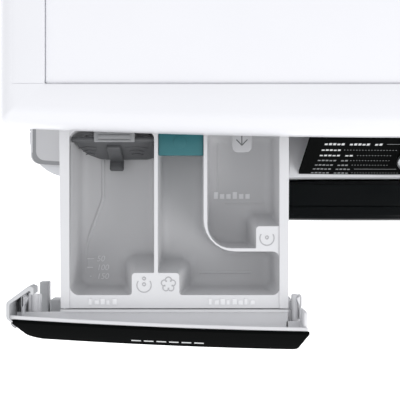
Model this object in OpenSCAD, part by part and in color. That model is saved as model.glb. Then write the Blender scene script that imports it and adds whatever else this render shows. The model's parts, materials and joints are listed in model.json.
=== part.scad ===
// Front load washing machine, an assembly of separate parts, in millimetres.
// +Z is up, the front faces -Y and the feet stand on z = 0. The detergent drawer is drawn pulled out to
// its stop, and the origin is under the middle of the whole, drawer included.

/* [Cabinet] */
// Width over the side walls
body_w = 600; // [560:5:640]
// Height from the floor to the top of the lid
body_h = 850; // [840:1:860]
// Depth from the front panel to the rear wall
body_d = 540; // [520:5:580]
// Thickness of the painted sheet steel
sheet = 1.2; // [1:0.1:1.5]
// Radius of the upright front corners
corner_r = 32; // [24:1:36]

/* [Console] */
// Height of the console's lower edge above the floor
console_z = 746; // [744:1:748]
// How far the console's face leans back, in degrees
lean = 20; // [18:1:21]
// Radius of the face's bow, seen from above
bow_r = 4600; // [4500:100:7000]
// Thickness of the black front plates
plate_t = 2.5; // [2:0.1:3]
// Where the program knob sits, right of the middle
knob_x = 22; // [20:1:36]
// Radius of the program knob
knob_r = 26; // [22:1:28]

/* [Detergent drawer] */
// How far the drawer is pulled out
drawer_out = 144; // [130:1:146]
// Left face of the drawer's tray
tray_x0 = -266; // [-267:0.5:-264]
// Width of the drawer's tray
tray_w = 174; // [172:1:176]
// Height of the tray's rim above the floor
rim_z = 800; // [798:1:802]

/* [Door] */
// Height of the drum's axis above the floor
axis_z = 455; // [450:1:456]
// Outer radius of the door's ring
door_r = 235; // [225:1:238]
// How far the door stands out of the front panel
door_out = 37; // [36:0.5:38]
// Radius of the porthole in the front panel
port_r = 178; // [174:1:180]

/* [Drum and tub] */
// Outer radius of the drum
drum_r = 238; // [230:1:240]
// Depth of the drum
drum_d = 290; // [270:5:300]
// Outer radius of the tub
tub_r = 262; // [258:1:264]
// Radius of the drum's pulley
pulley_r = 138; // [120:1:145]
// Radius of the motor's pulley
motor_pulley_r = 12; // [10:1:14]

/* [Hidden] */
$fn = 64;
e = 0.5; // overrun that keeps cuts clean

// Frame: depth runs from the front panel's face into the machine
half_w = body_w / 2;
port_out = 14;                                          // the water inlet stands out of the rear wall
console_set = 0.8;                                        // the console's lower edge lies this far back
y_front = (drawer_out - console_set - 0.5 - body_d - port_out) / 2;
lid_z = 822;                                            // underside of the lid
face_h = (lid_z - 2.2 - console_z) / cos(lean);         // length of the leaning face
face_back = console_set + face_h * sin(lean);           // depth of its upper edge
split_x = -79;                                        // parting line of drawer front and fascia
recess_d = 70;                                          // depth of the console's drawer recess

// Drawer
tray_x1 = tray_x0 + tray_w;
tray_front = 43.4;                                      // depth of the tray's front end, drawer shut
tray_back = 247;                                        // depth of its back end, drawer shut
tray_z = 747.5;
wash_z = 750;
soft_z = 752.5;
pre_z = 753.5;

// Drum, tub and drive
tub_front_d = 78;
tub_seam_d = 118;
tub_back_d = 440;
drum_front_d = 108;
drum_back_d = drum_front_d + drum_d;
belt_d = 500;
motor_x = 95;
motor_z = 118;
mouth_r = 182;                                          // the tub's mouth, where the gasket seats
spring_d = 287;
spring_x = 268;
damper_x = 150;
damper_d = 230;
pump_x = 200;
pump_z = 116;
hinge_x = -229;                                         // the door's hinge axis
hinge_d = -20;
foot_x = 240;
foot_front = 60;
foot_back = 480;

// Translates by depth from the front panel's face
module deep(d, x = 0, z = 0) { translate([x, y_front + d, z]) children(); }

// Turns a shape whose axis is +Z so that the axis runs into the machine through the drum's centre
module on_axis(d = 0, x = 0, z = axis_z) { deep(d, x, z) rotate([-90, 0, 0]) children(); }

// Revolves a list of [radius, depth] points about the drum's axis
module ring(points, fn = 128) { on_axis() rotate_extrude($fn = fn) polygon(points); }

// The leaning face: x across, z up the slope, y inwards from the face
module face_frame() { deep(console_set, 0, console_z) rotate([-lean, 0, 0]) children(); }

// A plate between two depths behind the bowed face, cut to the children's outline in x and height
module bowed(y0, y1) {
    intersection() {
        translate([0, y1 + 12, 0]) rotate([90, 0, 0]) linear_extrude(y1 - y0 + 24) children();
        difference() {
            translate([0, bow_r, -60]) cylinder(h = 260, r = bow_r - y0, $fn = 720);
            translate([0, bow_r, -61]) cylinder(h = 262, r = bow_r - y1, $fn = 720);
        }
    }
}

// A rectangle with round corners, made from exact circles
module round_rect(x0, y0, x1, y1, r) {
    translate([x0 + r, y0]) square([x1 - x0 - 2 * r, y1 - y0]);
    translate([x0, y0 + r]) square([x1 - x0, y1 - y0 - 2 * r]);
    for (x = [x0 + r, x1 - r], y = [y0 + r, y1 - r]) translate([x, y]) circle(r);
}

// A box given by its two corners, in x, depth and z
module box(x0, d0, z0, x1, d1, z1) { deep(d0, x0, z0) cube([x1 - x0, d1 - d0, z1 - z0]); }

// Plan outline with a bowed front edge at depth d0, back edge d1 and front corners of radius r
module bow_plan(d0, d1, inset, r) {
    w = half_w - inset;
    sag = w * w / (2 * bow_r);
    translate([0, y_front]) intersection() {
        translate([0, d0 + bow_r]) circle(bow_r, $fn = 720);
        union() {
            round_rect(-w, d0 + sag, w, d1, r);
            translate([-w + r, d0 - 1]) square([2 * (w - r), sag + r + 1]);
        }
    }
}

// Each ring of a tube is turned square to its path, with its side vector carried along from ring to ring
function unit(v) = v / norm(v);
function first_side(t) = abs(t.z) > 0.9 ? unit(cross(t, [0, 1, 0])) : unit(cross(t, [0, 0, 1]));
function tangent(path, i) = unit(path[min(i + 1, len(path) - 1)] - path[max(i - 1, 0)]);
function squared(a, t) = unit(a - (a * t) * t);
function carried(path, a, i = 0) = i == len(path) ? [] :
    let (b = squared(a, tangent(path, i))) concat([b], carried(path, b, i + 1));
function ring_at(p, t, a, r, n) =
    let (b = cross(t, a)) [for (k = [0:n - 1]) p + r * (cos(360 * k / n) * a + sin(360 * k / n) * b)];

// A closed tube of radius r swept along a smooth list of points
module tube(path, r, n = 10) {
    side = carried(path, first_side(tangent(path, 0)));
    rings = [for (i = [0:len(path) - 1]) each ring_at(path[i], tangent(path, i), side[i], r, n)];
    last = (len(path) - 1) * n;
    lower = [for (i = [0:len(path) - 2], k = [0:n - 1]) [i * n + (k + 1) % n, i * n + k, (i + 1) * n + k]];
    upper = [for (i = [0:len(path) - 2], k = [0:n - 1])
        [(i + 1) * n + (k + 1) % n, i * n + (k + 1) % n, (i + 1) * n + k]];
    ends = [[for (k = [0:n - 1]) k], [for (k = [n - 1:-1:0]) last + k]];
    polyhedron(rings, concat(lower, upper, ends));
}

// Points of a smooth curve through four or more control points
function curve_point(a, b, c, d, t) =
    0.5 * ((2 * b) + (c - a) * t + (2 * a - 5 * b + 4 * c - d) * t * t + (3 * b - a - 3 * c + d) * t * t * t);
function smooth(p, steps = 8) = [for (i = [1:len(p) - 3], k = [0:steps - 1])
    curve_point(p[i - 1], p[i], p[i + 1], p[i + 2], k / steps), ];
function hose_path(p, steps = 8) =
    let (q = concat([2 * p[0] - p[1]], p, [2 * p[len(p) - 1] - p[len(p) - 2]]))
    concat(smooth(q, steps), [p[len(p) - 1]]);

// ---------------------------------------------------------------- cabinet

// Outline of a rounded front corner sheet: a U whose legs run back to depth d1
module front_plan(inset, d1) {
    w = half_w - inset;
    r = corner_r - inset;
    translate([0, y_front]) intersection() {
        union() {
            translate([-w + r, inset]) square([2 * (w - r), d1 - inset]);
            translate([-w, inset + r]) square([2 * w, d1 - inset - r]);
            for (x = [-w + r, w - r]) translate([x, inset + r]) circle(r);
        }
        translate([-w - 1, -1]) square([2 * w + 2, d1 + 1]);
    }
}

module cabinet_shell() color("white") {
    z0 = 26;
    h = lid_z - z0;
    difference() {
        box(-half_w, corner_r + 6, z0, half_w, body_d, lid_z);
        box(-half_w + sheet, corner_r - e, z0 - e, half_w - sheet, body_d - sheet, lid_z + e);
        box(-195, body_d - 10, 190, 195, body_d + 1, 640);
        deep(body_d, 225, 770) rotate([90, 0, 0]) cylinder(h = 20, r = 19, center = true);
        deep(body_d, -225, 760) rotate([90, 0, 0]) cylinder(h = 20, r = 14, center = true);
        deep(body_d, 225, 700) rotate([90, 0, 0]) cylinder(h = 20, r = 10, center = true);
        box(-half_w - 1, 0, console_z - 1.5, half_w + 1, recess_d + 1, lid_z + 1);
        for (x = [-242, 242], z = [240, 590])
            deep(body_d, x, z) rotate([90, 0, 0]) cylinder(h = 20, r = 13, center = true);
    }
    for (s = [-1, 1]) {
        x = s > 0 ? half_w - 14 : -half_w + sheet;
        box(x, corner_r + 6, z0, x + 14 - sheet, corner_r + 6 + sheet, console_z - 2);
        xs = s > 0 ? 248 : -half_w + sheet;
        box(xs, spring_d - 18, lid_z - 22, xs + 52 - sheet, spring_d + 18, lid_z - 20);
    }
}

module front_panel() color("white") {
    z0 = 30;
    z1 = console_z - 1.5;
    difference() {
        union() {
            difference() {
                translate([0, 0, z0]) linear_extrude(z1 - z0) front_plan(0, corner_r + 5);
                translate([0, 0, z0 - e]) linear_extrude(z1 - z0 + 2 * e) front_plan(sheet, corner_r + 6);
            }
            translate([0, 0, z1 - sheet]) difference() {
                linear_extrude(sheet) front_plan(0.2, corner_r + 5);
                box(-half_w + 26, 22, -1, half_w - 26, 60, 3);
            }
        }
        on_axis(-5) cylinder(h = 20, r = port_r, $fn = 128);
        box(196, -5, axis_z - 17, 214, 10, axis_z + 17);
        box(pump_x - 58, -5, 61.5, pump_x + 58, 10, 172);
        deep(0, hinge_x + 12, axis_z) cube([26, 20, 84], center = true);
    }
    for (x = [pump_x - 61.2, pump_x + 58.6]) difference() {
        box(x, 0.6, 60, x + 2.6, 10, 76);
        deep(6, x - 1, 68) rotate([0, 90, 0]) cylinder(h = 5, r = 3.25);
    }
}

module base_tray() color("dimgray") {
    difference() {
        box(-288, 42, 22, 288, 530, 58);
        box(-285, 45, 25, 285, 527, 60);
        for (x = [-foot_x, foot_x], d = [foot_front, foot_back])
            deep(d, x, 20) cylinder(h = 10, r = 5.3);
    }
    for (x = [-damper_x, damper_x]) difference() {
        box(x - 14, damper_d - 12, 24, x + 14, damper_d + 12, 75.6);
        box(x - 9, damper_d - 13, 44, x + 9, damper_d + 13, 77);
        deep(damper_d, x, 62) rotate([0, 90, 0]) cylinder(h = 40, r = 4.05, center = true);
    }
}

module rear_cover() color("lightgray") difference() {
    union() {
        box(-215, body_d + 0.1, 170, 215, body_d + 1.3, 660);
        for (i = [0:5]) box(-150, body_d + 1.2, 260 + i * 60, 150, body_d + 3.2, 270 + i * 60);
    }
    for (x = [-206, 206], z = [180, 415, 650])
        deep(body_d + 5, x, z) rotate([90, 0, 0]) cylinder(h = 12, r = 2.3);
}

module screw(head_r, head_h, shank_r, shank_h) {
    cylinder(h = head_h, r = head_r);
    translate([0, 0, -shank_h]) cylinder(h = shank_h, r = shank_r);
}

module cabinet_screws() color("silver") {
    for (x = [-206, 206], z = [180, 415, 650])
        deep(body_d + 1.35, x, z) rotate([-90, 0, 0]) screw(4.6, 2.6, 2.15, 1.2);
    for (x = [-270, 270]) deep(body_d + 0.1, x, 836) rotate([-90, 0, 0]) screw(5, 2.8, 2.1, 0.05);
}

module feet() {
    for (x = [-foot_x, foot_x], d = [foot_front, foot_back]) deep(d, x) {
        color("#222222") cylinder(h = 7, r = 22);
        color("#222222") translate([0, 0, 7]) cylinder(h = 6, r1 = 22, r2 = 11, $fn = 64);
        color("silver") translate([0, 0, 13]) cylinder(h = 32, r = 5);
        color("silver") translate([0, 0, 15.2]) difference() {
            cylinder(h = 6.5, r = 10, $fn = 6);
            translate([0, 0, -e]) cylinder(h = 8, r = 5.05);
        }
    }
}

module transport_caps() color("gray")
    for (x = [-242, 242], z = [240, 590]) deep(body_d, x, z) rotate([-90, 0, 0]) {
        translate([0, 0, 0.1]) cylinder(h = 2.4, r = 17);
        translate([0, 0, -6]) cylinder(h = 6.2, r = 12.6);
    }

module cord_gland() color("#222222") deep(body_d, 225, 700) rotate([-90, 0, 0]) difference() {
    union() {
        translate([0, 0, 0.1]) cylinder(h = 6, r = 14);
        translate([0, 0, -9]) cylinder(h = 9.2, r = 9.7);
    }
    translate([0, 0, -10]) cylinder(h = 20, r = 4);
}

// ---------------------------------------------------------------- lid

module lid_frame() color("white") {
    skirt = 3;
    lip_d = face_back - 0.6;
    difference() {
        union() {
            for (p = [[0, 0.8], [4, 0], [18, 1], [21.5, 2.4], [24.5, 4.6], [27, 7.6]])
                translate([0, 0, lid_z + p[0]]) linear_extrude(body_h - lid_z - p[0] - (p[0] < 4 ? 20 : 0))
                    bow_plan(lip_d + p[1], body_d - p[1], p[1], 10);
        }
        translate([0, 0, lid_z - e]) linear_extrude(10) bow_plan(lip_d + skirt, body_d - skirt, skirt, 7);
        box(-half_w + 33.2, 61.6, lid_z + 6, half_w - 33.2, body_d - 31.8, body_h + 1);
        for (x = [-270, 270])
            deep(body_d + e, x, 836) rotate([90, 0, 0]) cylinder(h = 1, r = 2.6);
    }
}

module lid_board() color("whitesmoke") box(-half_w + 33.6, 62, lid_z + 10, half_w - 33.6, body_d - 32.2, body_h - 2.6);

// ---------------------------------------------------------------- console

module console_carrier() color("whitesmoke") {
    top = lid_z - 0.3;
    // floor of the console, with the ledge that shows under the drawer front
    translate([0, 0, console_z]) difference() {
        linear_extrude(2.6) bow_plan(console_set, 86, 1.6, 8);
        box(tray_x0 - 6, -9, -1, tray_x1 + 6, 90, 4);
    }
    // face behind the fascia
    difference() {
        face_frame() bowed(plate_t + 0.1, plate_t + 3) difference() {
            translate([split_x + 2, 1]) square([half_w - 5 - split_x - 2, face_h - 1.2]);
            translate([knob_x, face_h / 2]) circle(8);
            translate([86, 17]) square([116, 44]);
            for (x = [232, 264]) translate([x, face_h / 2]) circle(6.5);
        }
        box(0, -30, console_z - 40, half_w, 60, console_z + 1);
        box(split_x, -30, console_z - 40, 1, 60, console_z + 1);
    }
    // rail under the lid, end wall, side of the recess and its rear wall
    translate([0, 0, top - 2.6]) linear_extrude(2.6) bow_plan(face_back + 2, 86, 1.6, 8);
    rib(half_w - 5.4, 2.6, 86, console_z + 2, top - 2);
    box(split_x + 2, 33, console_z + 2, split_x + 4.4, recess_d + 1, top - 2);
    difference() {
        box(-half_w + 2.2, recess_d, console_z + 2, split_x + 4.4, recess_d + 2.6, top - 2);
        box(tray_x0 - 3, recess_d - 1, console_z + 1, tray_x1 + 3, recess_d + 5, rim_z + 4);
    }
    // low lip along the left end of the ledge
    box(-half_w + 2.2, 20, console_z + 2, -half_w + 3.4, recess_d + 1, console_z + 3.2);
}

module console_fascia() color("#141414") difference() {
    face_frame() bowed(0, plate_t) difference() {
        translate([split_x + 0.6, 0.6]) square([half_w - 3 - split_x, face_h - 0.8]);
        translate([knob_x, face_h / 2]) circle(9);
        translate([88, 19]) square([112, 40]);
        for (x = [232, 264]) translate([x, face_h / 2]) circle(9.4);
    }
    box(split_x - 2, -30, console_z - 40, half_w + 2, 60, console_z + 2.8);
}

module display_window() color("#0a0a0a") face_frame() bowed(0.2, plate_t) translate([88.3, 19.3]) square([111.4, 39.4]);

module control_board() color("darkgreen") face_frame() {
    translate([78, 16.9, 14]) cube([206, 1.6, 50]);
    color("#222222") translate([95, 9, 24]) cube([98, 8.2, 28]);
    color("#222222") translate([knob_x - 14, 9, face_h / 2 - 14]) cube([28, 10, 28]);
    color("#333333") translate([110, 18.3, 22]) cube([30, 14, 22]);
    color("#333333") translate([170, 18.3, 26]) cube([18, 18, 14]);
    color("#c08020") for (i = [0:3]) translate([208 + i * 16, 18.3, 24]) cube([8, 12, 10]);
}

module program_knob() color("silver") face_frame() {
    y0 = knob_x * knob_x / (2 * bow_r);
    translate([knob_x, y0, face_h / 2]) rotate([90, 0, 0]) {
        translate([0, 0, 0.6]) cylinder(h = 3, r = knob_r + 2);
        translate([0, 0, 3.6]) cylinder(h = 14, r = knob_r);
        translate([0, 0, 17.6]) cylinder(h = 2, r1 = knob_r, r2 = knob_r - 2);
        translate([0, 0, -8.2]) cylinder(h = 9, r = 3.5);
    }
}

module round_button(x) face_frame() {
    y0 = x * x / (2 * bow_r);
    translate([x, y0, face_h / 2]) rotate([90, 0, 0]) {
        translate([0, 0, -1]) cylinder(h = 3, r = 9);
        translate([0, 0, -8]) cylinder(h = 7.5, r = 4);
    }
}

module power_button() color("silver") round_button(264);
module start_button() color("silver") round_button(232);

// ---------------------------------------------------------------- dispenser

module drawer_housing() color("gainsboro") {
    x0 = tray_x0 - 5;
    x1 = tray_x1 + 5;
    d0 = recess_d + 3;
    d1 = tray_back + 9;
    difference() {
        box(x0, d0, tray_z - 4.5, x1, d1, rim_z + 4);
        box(x0 + 2.5, d0 - e, tray_z - 2, x1 - 2.5, d1 - 2.5, rim_z + 5);
        deep(d1 - 50, tray_x0 + 60, tray_z - 6) cylinder(h = 10, r = 17);
    }
    deep(d1 - 50, tray_x0 + 60, tray_z - 22) difference() {
        cylinder(h = 18.2, r = 20);
        translate([0, 0, -e]) cylinder(h = 20, r = 17);
    }
}

module water_distributor() color("lightsteelblue") {
    x0 = tray_x0 - 5;
    x1 = tray_x1 + 5;
    difference() {
        box(x0, recess_d + 4, rim_z + 4.2, x1, tray_back + 9, rim_z + 14);
        for (i = [0:2]) box(x0 + 12 + i * 58, 92, rim_z + 7, x0 + 64 + i * 58, 230, rim_z + 20);
    }
    deep(tray_back + 9, tray_x0 + 30, rim_z + 9.2) rotate([-90, 0, 0]) cylinder(h = 16, r = 4.6);
}

module inlet_valve() color("white") {
    deep(body_d + port_out, -225, 760) rotate([90, 0, 0]) difference() {
        union() {
            cylinder(h = 13.4, r = 13.2);
            translate([0, 0, 13]) cylinder(h = 17, r = 12.2);
        }
        translate([0, 0, -e]) cylinder(h = 14, r = 8);
    }
    box(-246, body_d - 52, 742, -204, body_d - 15.8, 778);
    color("steelblue") box(-241, body_d - 50, 778, -209, body_d - 22, 800);
    deep(body_d - 51.8, -225, 752) rotate([90, 0, 0]) cylinder(h = 18, r = 6);
}

module valve_hose() color("#333333") {
    y0 = y_front + body_d - 70;
    x1 = tray_x0 + 30;
    y1 = y_front + tray_back + 25.2;
    tube(hose_path([[-225, y0, 752], [-225, y0 - 40, 752], [-228, y0 - 90, 775], [x1, y1 + 60, rim_z + 6],
        [x1, y1 + 30, rim_z + 9.2], [x1, y1, rim_z + 9.2]], 6), 8, 10);
}

module fill_bellows() color("#333333") deep(tray_back - 41, tray_x0 + 60, 676) rotate_extrude() polygon([
    [16.4, 0], [18.4, 0], [18.4, 10], [23, 14], [18.6, 18], [23, 22], [18.6, 26], [23, 30], [18.6, 34],
    [20, 38], [20, tray_z - 698.2], [17, tray_z - 698.2], [16.6, 36], [20.6, 30], [16.4, 26], [20.6, 22], [16.4, 18],
    [20.6, 14], [16.4, 10.4]
]);

// ---------------------------------------------------------------- door seal and lock

module door_gasket() color("#8a8c90") ring([
    [port_r - 6, -1.8], [port_r + 3, -1.8], [port_r + 3, -0.3], [port_r - 0.4, -0.3], [port_r - 0.4, 1.5],
    [port_r + 5, 1.5], [port_r + 5, 5], [port_r - 3, 7], [port_r - 3, 26], [port_r + 6, 34],
    [port_r + 6, 44], [port_r - 2, 52], [port_r + 10, 59], [port_r + 10, 63], [port_r - 7, 63],
    [port_r - 8, 51], [port_r + 1, 43], [port_r + 1, 36], [port_r - 9, 28], [port_r - 9, 18],
    [port_r - 20, 13], [port_r - 22, 9], [port_r - 10, 6], [port_r - 8, 0]
]);

module hinge_bracket() color("silver") {
    box(hinge_x + 2, 1.4, axis_z - 52, hinge_x + 42, 5.2, axis_z + 52);
    for (z = [axis_z - 34, axis_z + 26]) difference() {
        union() {
            box(hinge_x, hinge_d, z, hinge_x + 16, 3, z + 8);
            deep(hinge_d, hinge_x, z) cylinder(h = 8, r = 5.5);
        }
        deep(hinge_d, hinge_x, z - e) cylinder(h = 9, r = 3.05);
    }
}

module door_lock() color("#333333") difference() {
    box(190, 1.5, axis_z - 40, 224, 42, axis_z + 40);
    box(194.5, 0, axis_z - 19, 216, 36, axis_z + 19);
}

// ---------------------------------------------------------------- tub group

module tub_rear() color("gainsboro") {
    difference() {
        ring([
            [tub_r, tub_seam_d + 0.2], [tub_r, tub_back_d - 12], [tub_r - 12, tub_back_d], [52, tub_back_d],
            [52, tub_back_d + 26], [36.05, tub_back_d + 26], [36.05, tub_back_d - 22], [60, tub_back_d - 22],
            [70, tub_back_d - 6], [tub_r - 16, tub_back_d - 6], [tub_r - 6, tub_back_d - 16],
            [tub_r - 6, tub_seam_d + 0.2]
        ]);
        for (x = [-28, 28]) on_axis(tub_back_d - 20, x, axis_z - tub_r + 16) cylinder(h = 30, r = 3.8);
    }
    ring([[tub_r - 1, tub_seam_d + 0.2], [tub_r + 9, tub_seam_d + 0.2], [tub_r + 9, tub_seam_d + 8],
        [tub_r - 1, tub_seam_d + 8]]);
    for (a = [0:30:330]) rotate_about_axis(a) box(51, tub_back_d - 0.2, axis_z - 2, tub_r - 28, tub_back_d + 12, axis_z + 2);
    for (s = [-1, 1]) {
        x = s * (spring_x - 34);
        translate([x, y_front + spring_d, 600]) cube([76, 34, 8], center = true);
        deep(damper_d, s * damper_x, 232) difference() {
            cube([26, 22, 26], center = true);
            translate([0, 0, -8]) cube([16.4, 23, 26], center = true);
            translate([0, 0, -6]) rotate([0, 90, 0]) cylinder(h = 40, r = 4.05, center = true);
        }
    }
    box(motor_x - 14, 320, motor_z + 66, motor_x + 14, 425, 226);
    deep(tray_back - 41, tray_x0 + 60, 610) difference() {
        cylinder(h = 76, r = 16);
        translate([0, 0, 20]) cylinder(h = 60, r = 13);
    }
    deep(200, -30, axis_z - tub_r - 16) difference() {
        cylinder(h = 20, r = 19);
        translate([0, 0, -e]) cylinder(h = 30, r = 14);
    }
}

module rotate_about_axis(a) translate([0, 0, axis_z]) rotate([0, a, 0]) translate([0, 0, -axis_z]) children();

module tub_front() color("gainsboro") {
    ring([
        [mouth_r, tub_front_d], [mouth_r, tub_front_d - 12], [mouth_r + 5, tub_front_d - 12],
        [mouth_r + 8, tub_front_d - 3], [tub_r - 12, tub_front_d], [tub_r, tub_front_d + 12],
        [tub_r, tub_seam_d - 8], [tub_r + 9, tub_seam_d - 8], [tub_r + 9, tub_seam_d], [tub_r - 6, tub_seam_d],
        [tub_r - 6, tub_front_d + 14], [tub_r - 14, tub_front_d + 5], [mouth_r + 4, tub_front_d + 5]
    ]);
}

module tub_screws() color("silver")
    for (a = [10:20:350]) rotate_about_axis(a) {
        translate([tub_r + 5, y_front + tub_seam_d - 8.2, axis_z]) rotate([90, 0, 0]) cylinder(h = 4, r = 4);
        translate([tub_r + 5, y_front + tub_seam_d + 12.2, axis_z]) rotate([90, 0, 0]) cylinder(h = 4, r = 4);
    }

module counterweight_top() color("#9a9a94") difference() {
    box(-40, 150, axis_z + 215, 215, 330, axis_z + 312);
    on_axis(100) cylinder(h = 300, r = tub_r + 0.4, $fn = 128);
    on_axis(tub_seam_d - 10) cylinder(h = 22, r = tub_r + 12, $fn = 128);
}

module counterweight_front() color("#9a9a94") intersection() {
    ring([[mouth_r + 14, 34], [tub_r - 16, 34], [tub_r - 16, tub_front_d - 4], [mouth_r + 14, tub_front_d - 4]]);
    box(-half_w, 20, 150, half_w, 100, axis_z - 70);
}

module motor_housing() color("dimgray") {
    deep(318, motor_x, motor_z) rotate([-90, 0, 0]) difference() {
        cylinder(h = 142, r = 62);
        translate([0, 0, 6]) cylinder(h = 130, r = 52);
        translate([0, 0, -e]) cylinder(h = 150, r = 8.2);
    }
    for (d = [330, 405]) box(motor_x - 30, d, motor_z + 50, motor_x + 30, d + 8, motor_z + 65.8);
}

module motor_rotor() color("silver") deep(326, motor_x, motor_z) rotate([-90, 0, 0]) {
    cylinder(h = 122, r = 48);
    translate([0, 0, -6]) cylinder(h = 166, r = 8);
    translate([0, 0, belt_d - 326 - 14]) cylinder(h = 28, r = motor_pulley_r);
}

module damper_rods() color("silver") for (s = [-1, 1]) deep(damper_d, s * damper_x) {
    translate([0, 0, 110]) cylinder(h = 106, r = 5);
    translate([0, 0, 226]) rotate([0, 90, 0]) cylinder(h = 16, r = 10, center = true);
    translate([0, 0, 226]) rotate([0, 90, 0]) cylinder(h = 25.6, r = 4, center = true);
}

module bearings() color("lightsteelblue") {
    for (d = [tub_back_d - 18, tub_back_d + 6]) on_axis(d) difference() {
        cylinder(h = 16, r = 36);
        translate([0, 0, -e]) cylinder(h = 17, r = 17.55);
        translate([0, 0, -e]) difference() {
            cylinder(h = 2, r = 31);
            cylinder(h = 2, r = 22);
        }
    }
    color("#222222") on_axis(tub_back_d - 30) difference() {
        cylinder(h = 8, r = 35);
        translate([0, 0, -e]) cylinder(h = 9, r = 17.9);
    }
}

module heater() color("silver") {
    z = axis_z - tub_r + 16;
    y1 = y_front + tub_back_d + 3;
    for (x = [-28, 28]) tube(hose_path([[x, y1, z], [x, y1 - 90, z], [x, y1 - 180, z], [x * 0.7, y1 - 212, z],
        [0, y1 - 222, z]], 4), 3.4, 8);
    box(-38, tub_back_d + 0.3, z - 7, 38, tub_back_d + 6, z + 7);
    for (x = [-28, 28]) box(x - 4, tub_back_d + 5, z - 0.5, x + 4, tub_back_d + 16, z + 0.5);
}

module drive_belt() color("#1a1a1a") {
    dx = motor_x;
    dz = motor_z - axis_z;
    far = norm([dx, dz]);
    a = atan2(dz, dx);
    r0 = pulley_r + 0.6;
    r1 = motor_pulley_r + 0.6;
    deep(belt_d - 8, 0, axis_z) rotate([-90, 0, 0]) rotate([0, 0, -a]) linear_extrude(16) difference() {
        belt_outline(r0 + 3, r1 + 3, far);
        belt_outline(r0, r1, far);
    }
}

// Two circles and the straight runs that touch them both
module belt_outline(r0, r1, far) {
    c = (r0 - r1) / far;
    s = sqrt(1 - c * c);
    circle(r0, $fn = 180);
    translate([far, 0]) circle(r1);
    polygon([[r0 * c, r0 * s], [far + r1 * c, r1 * s], [far + r1 * c, -r1 * s], [r0 * c, -r0 * s]]);
}

module suspension_springs() color("silver") for (s = [-1, 1]) {
    z0 = 606.2;
    z1 = lid_z - 24.2;
    turns = 10;
    steps = 10 * turns;
    r = 13;
    tube([for (i = [0:steps]) [s * spring_x + r * cos(36 * i), y_front + spring_d + r * sin(36 * i),
        z0 + (z1 - z0) * i / steps]], 2, 5);
}

module damper_cylinders() color("#333333") for (s = [-1, 1]) deep(damper_d, s * damper_x) {
    difference() {
        translate([0, 0, 76]) cylinder(h = 110, r = 15);
        translate([0, 0, 92]) cylinder(h = 100, r = 5.3);
    }
    translate([0, 0, 62]) rotate([0, 90, 0]) cylinder(h = 17.4, r = 9, center = true);
    translate([0, 0, 62]) rotate([0, 90, 0]) cylinder(h = 28, r = 4, center = true);
    translate([-5, -5, 62]) cube([10, 10, 16]);
}

// ---------------------------------------------------------------- drum group

module drum_shell() color("silver") ring([
    [drum_r - 6, drum_front_d], [drum_r, drum_front_d + 6], [drum_r, drum_back_d], [26, drum_back_d],
    [26, drum_back_d - 1.4], [drum_r - 1.4, drum_back_d - 1.4], [drum_r - 1.4, drum_front_d + 7],
    [drum_r - 7, drum_front_d + 1.4], [192, drum_front_d + 1.4], [189, drum_front_d - 6],
    [187, drum_front_d - 6], [187, drum_front_d - 8], [191, drum_front_d - 8], [194, drum_front_d]
]);

module drum_paddles() color("gainsboro") for (a = [30, 150, 270]) rotate_about_axis(a) intersection() {
    box(170, drum_front_d + 20, axis_z - 34, drum_r, drum_back_d - 12, axis_z + 34);
    translate([0, y_front, 0]) hull() {
        translate([drum_r - 6, drum_front_d + 24, axis_z - 30]) cube([4, drum_d - 44, 60]);
        translate([182, drum_front_d + 44, axis_z - 7]) cube([4, drum_d - 84, 14]);
    }
    on_axis(0) cylinder(h = 600, r = drum_r - 1.8, $fn = 128);
}

module drum_spider() color("darkgray") {
    d = drum_back_d;
    for (a = [30, 150, 270]) rotate_about_axis(a) {
        box(24, d + 0.2, axis_z - 16, drum_r - 10, d + 8, axis_z + 16);
        box(62, d + 7, axis_z - 5, drum_r - 60, d + 15, axis_z + 5);
    }
    ring([[0, d + 0.2], [34, d + 0.2], [34, d + 10], [17.5, d + 10], [17.5, belt_d + 18], [0, belt_d + 18]]);
}

module drum_pulley() color("darkgray") difference() {
    union() {
        ring([[pulley_r, belt_d - 11], [pulley_r, belt_d + 11], [pulley_r - 10, belt_d + 11], [pulley_r - 10, belt_d - 11]]);
        ring([[34, belt_d - 10], [34, belt_d + 10], [17.55, belt_d + 10], [17.55, belt_d - 10]]);
        for (a = [0:60:300]) rotate_about_axis(a) box(30, belt_d - 5, axis_z - 9, pulley_r - 5, belt_d + 5, axis_z + 9);
    }
}

// ---------------------------------------------------------------- pump

module pump_housing() color("whitesmoke") {
    deep(30, pump_x, pump_z) rotate([-90, 0, 0]) difference() {
        cylinder(h = 92, r = 36);
        translate([0, 0, -e]) cylinder(h = 82, r = 29.5);
    }
    color("#333333") deep(122, pump_x, pump_z) rotate([-90, 0, 0]) cylinder(h = 60, r = 28);
    deep(80, pump_x - 34, pump_z) rotate([0, -90, 0]) cylinder(h = 40, r = 14);
    deep(100, pump_x, pump_z + 34) cylinder(h = 24, r = 10);
    for (d = [46, 100]) box(pump_x - 26, d, 25.3, pump_x + 26, d + 14, 86);
}

module sump_hose() color("#333333") {
    x0 = pump_x - 74.2;
    tube(hose_path([[x0, y_front + 80, pump_z], [x0 - 30, y_front + 80, pump_z], [x0 - 80, y_front + 100, pump_z - 6],
        [-10, y_front + 150, pump_z + 4], [-30, y_front + 196, pump_z + 26], [-30, y_front + 200, axis_z - tub_r - 22],
        [-30, y_front + 200, axis_z - tub_r - 17.6]], 6), 16, 12);
}

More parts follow.
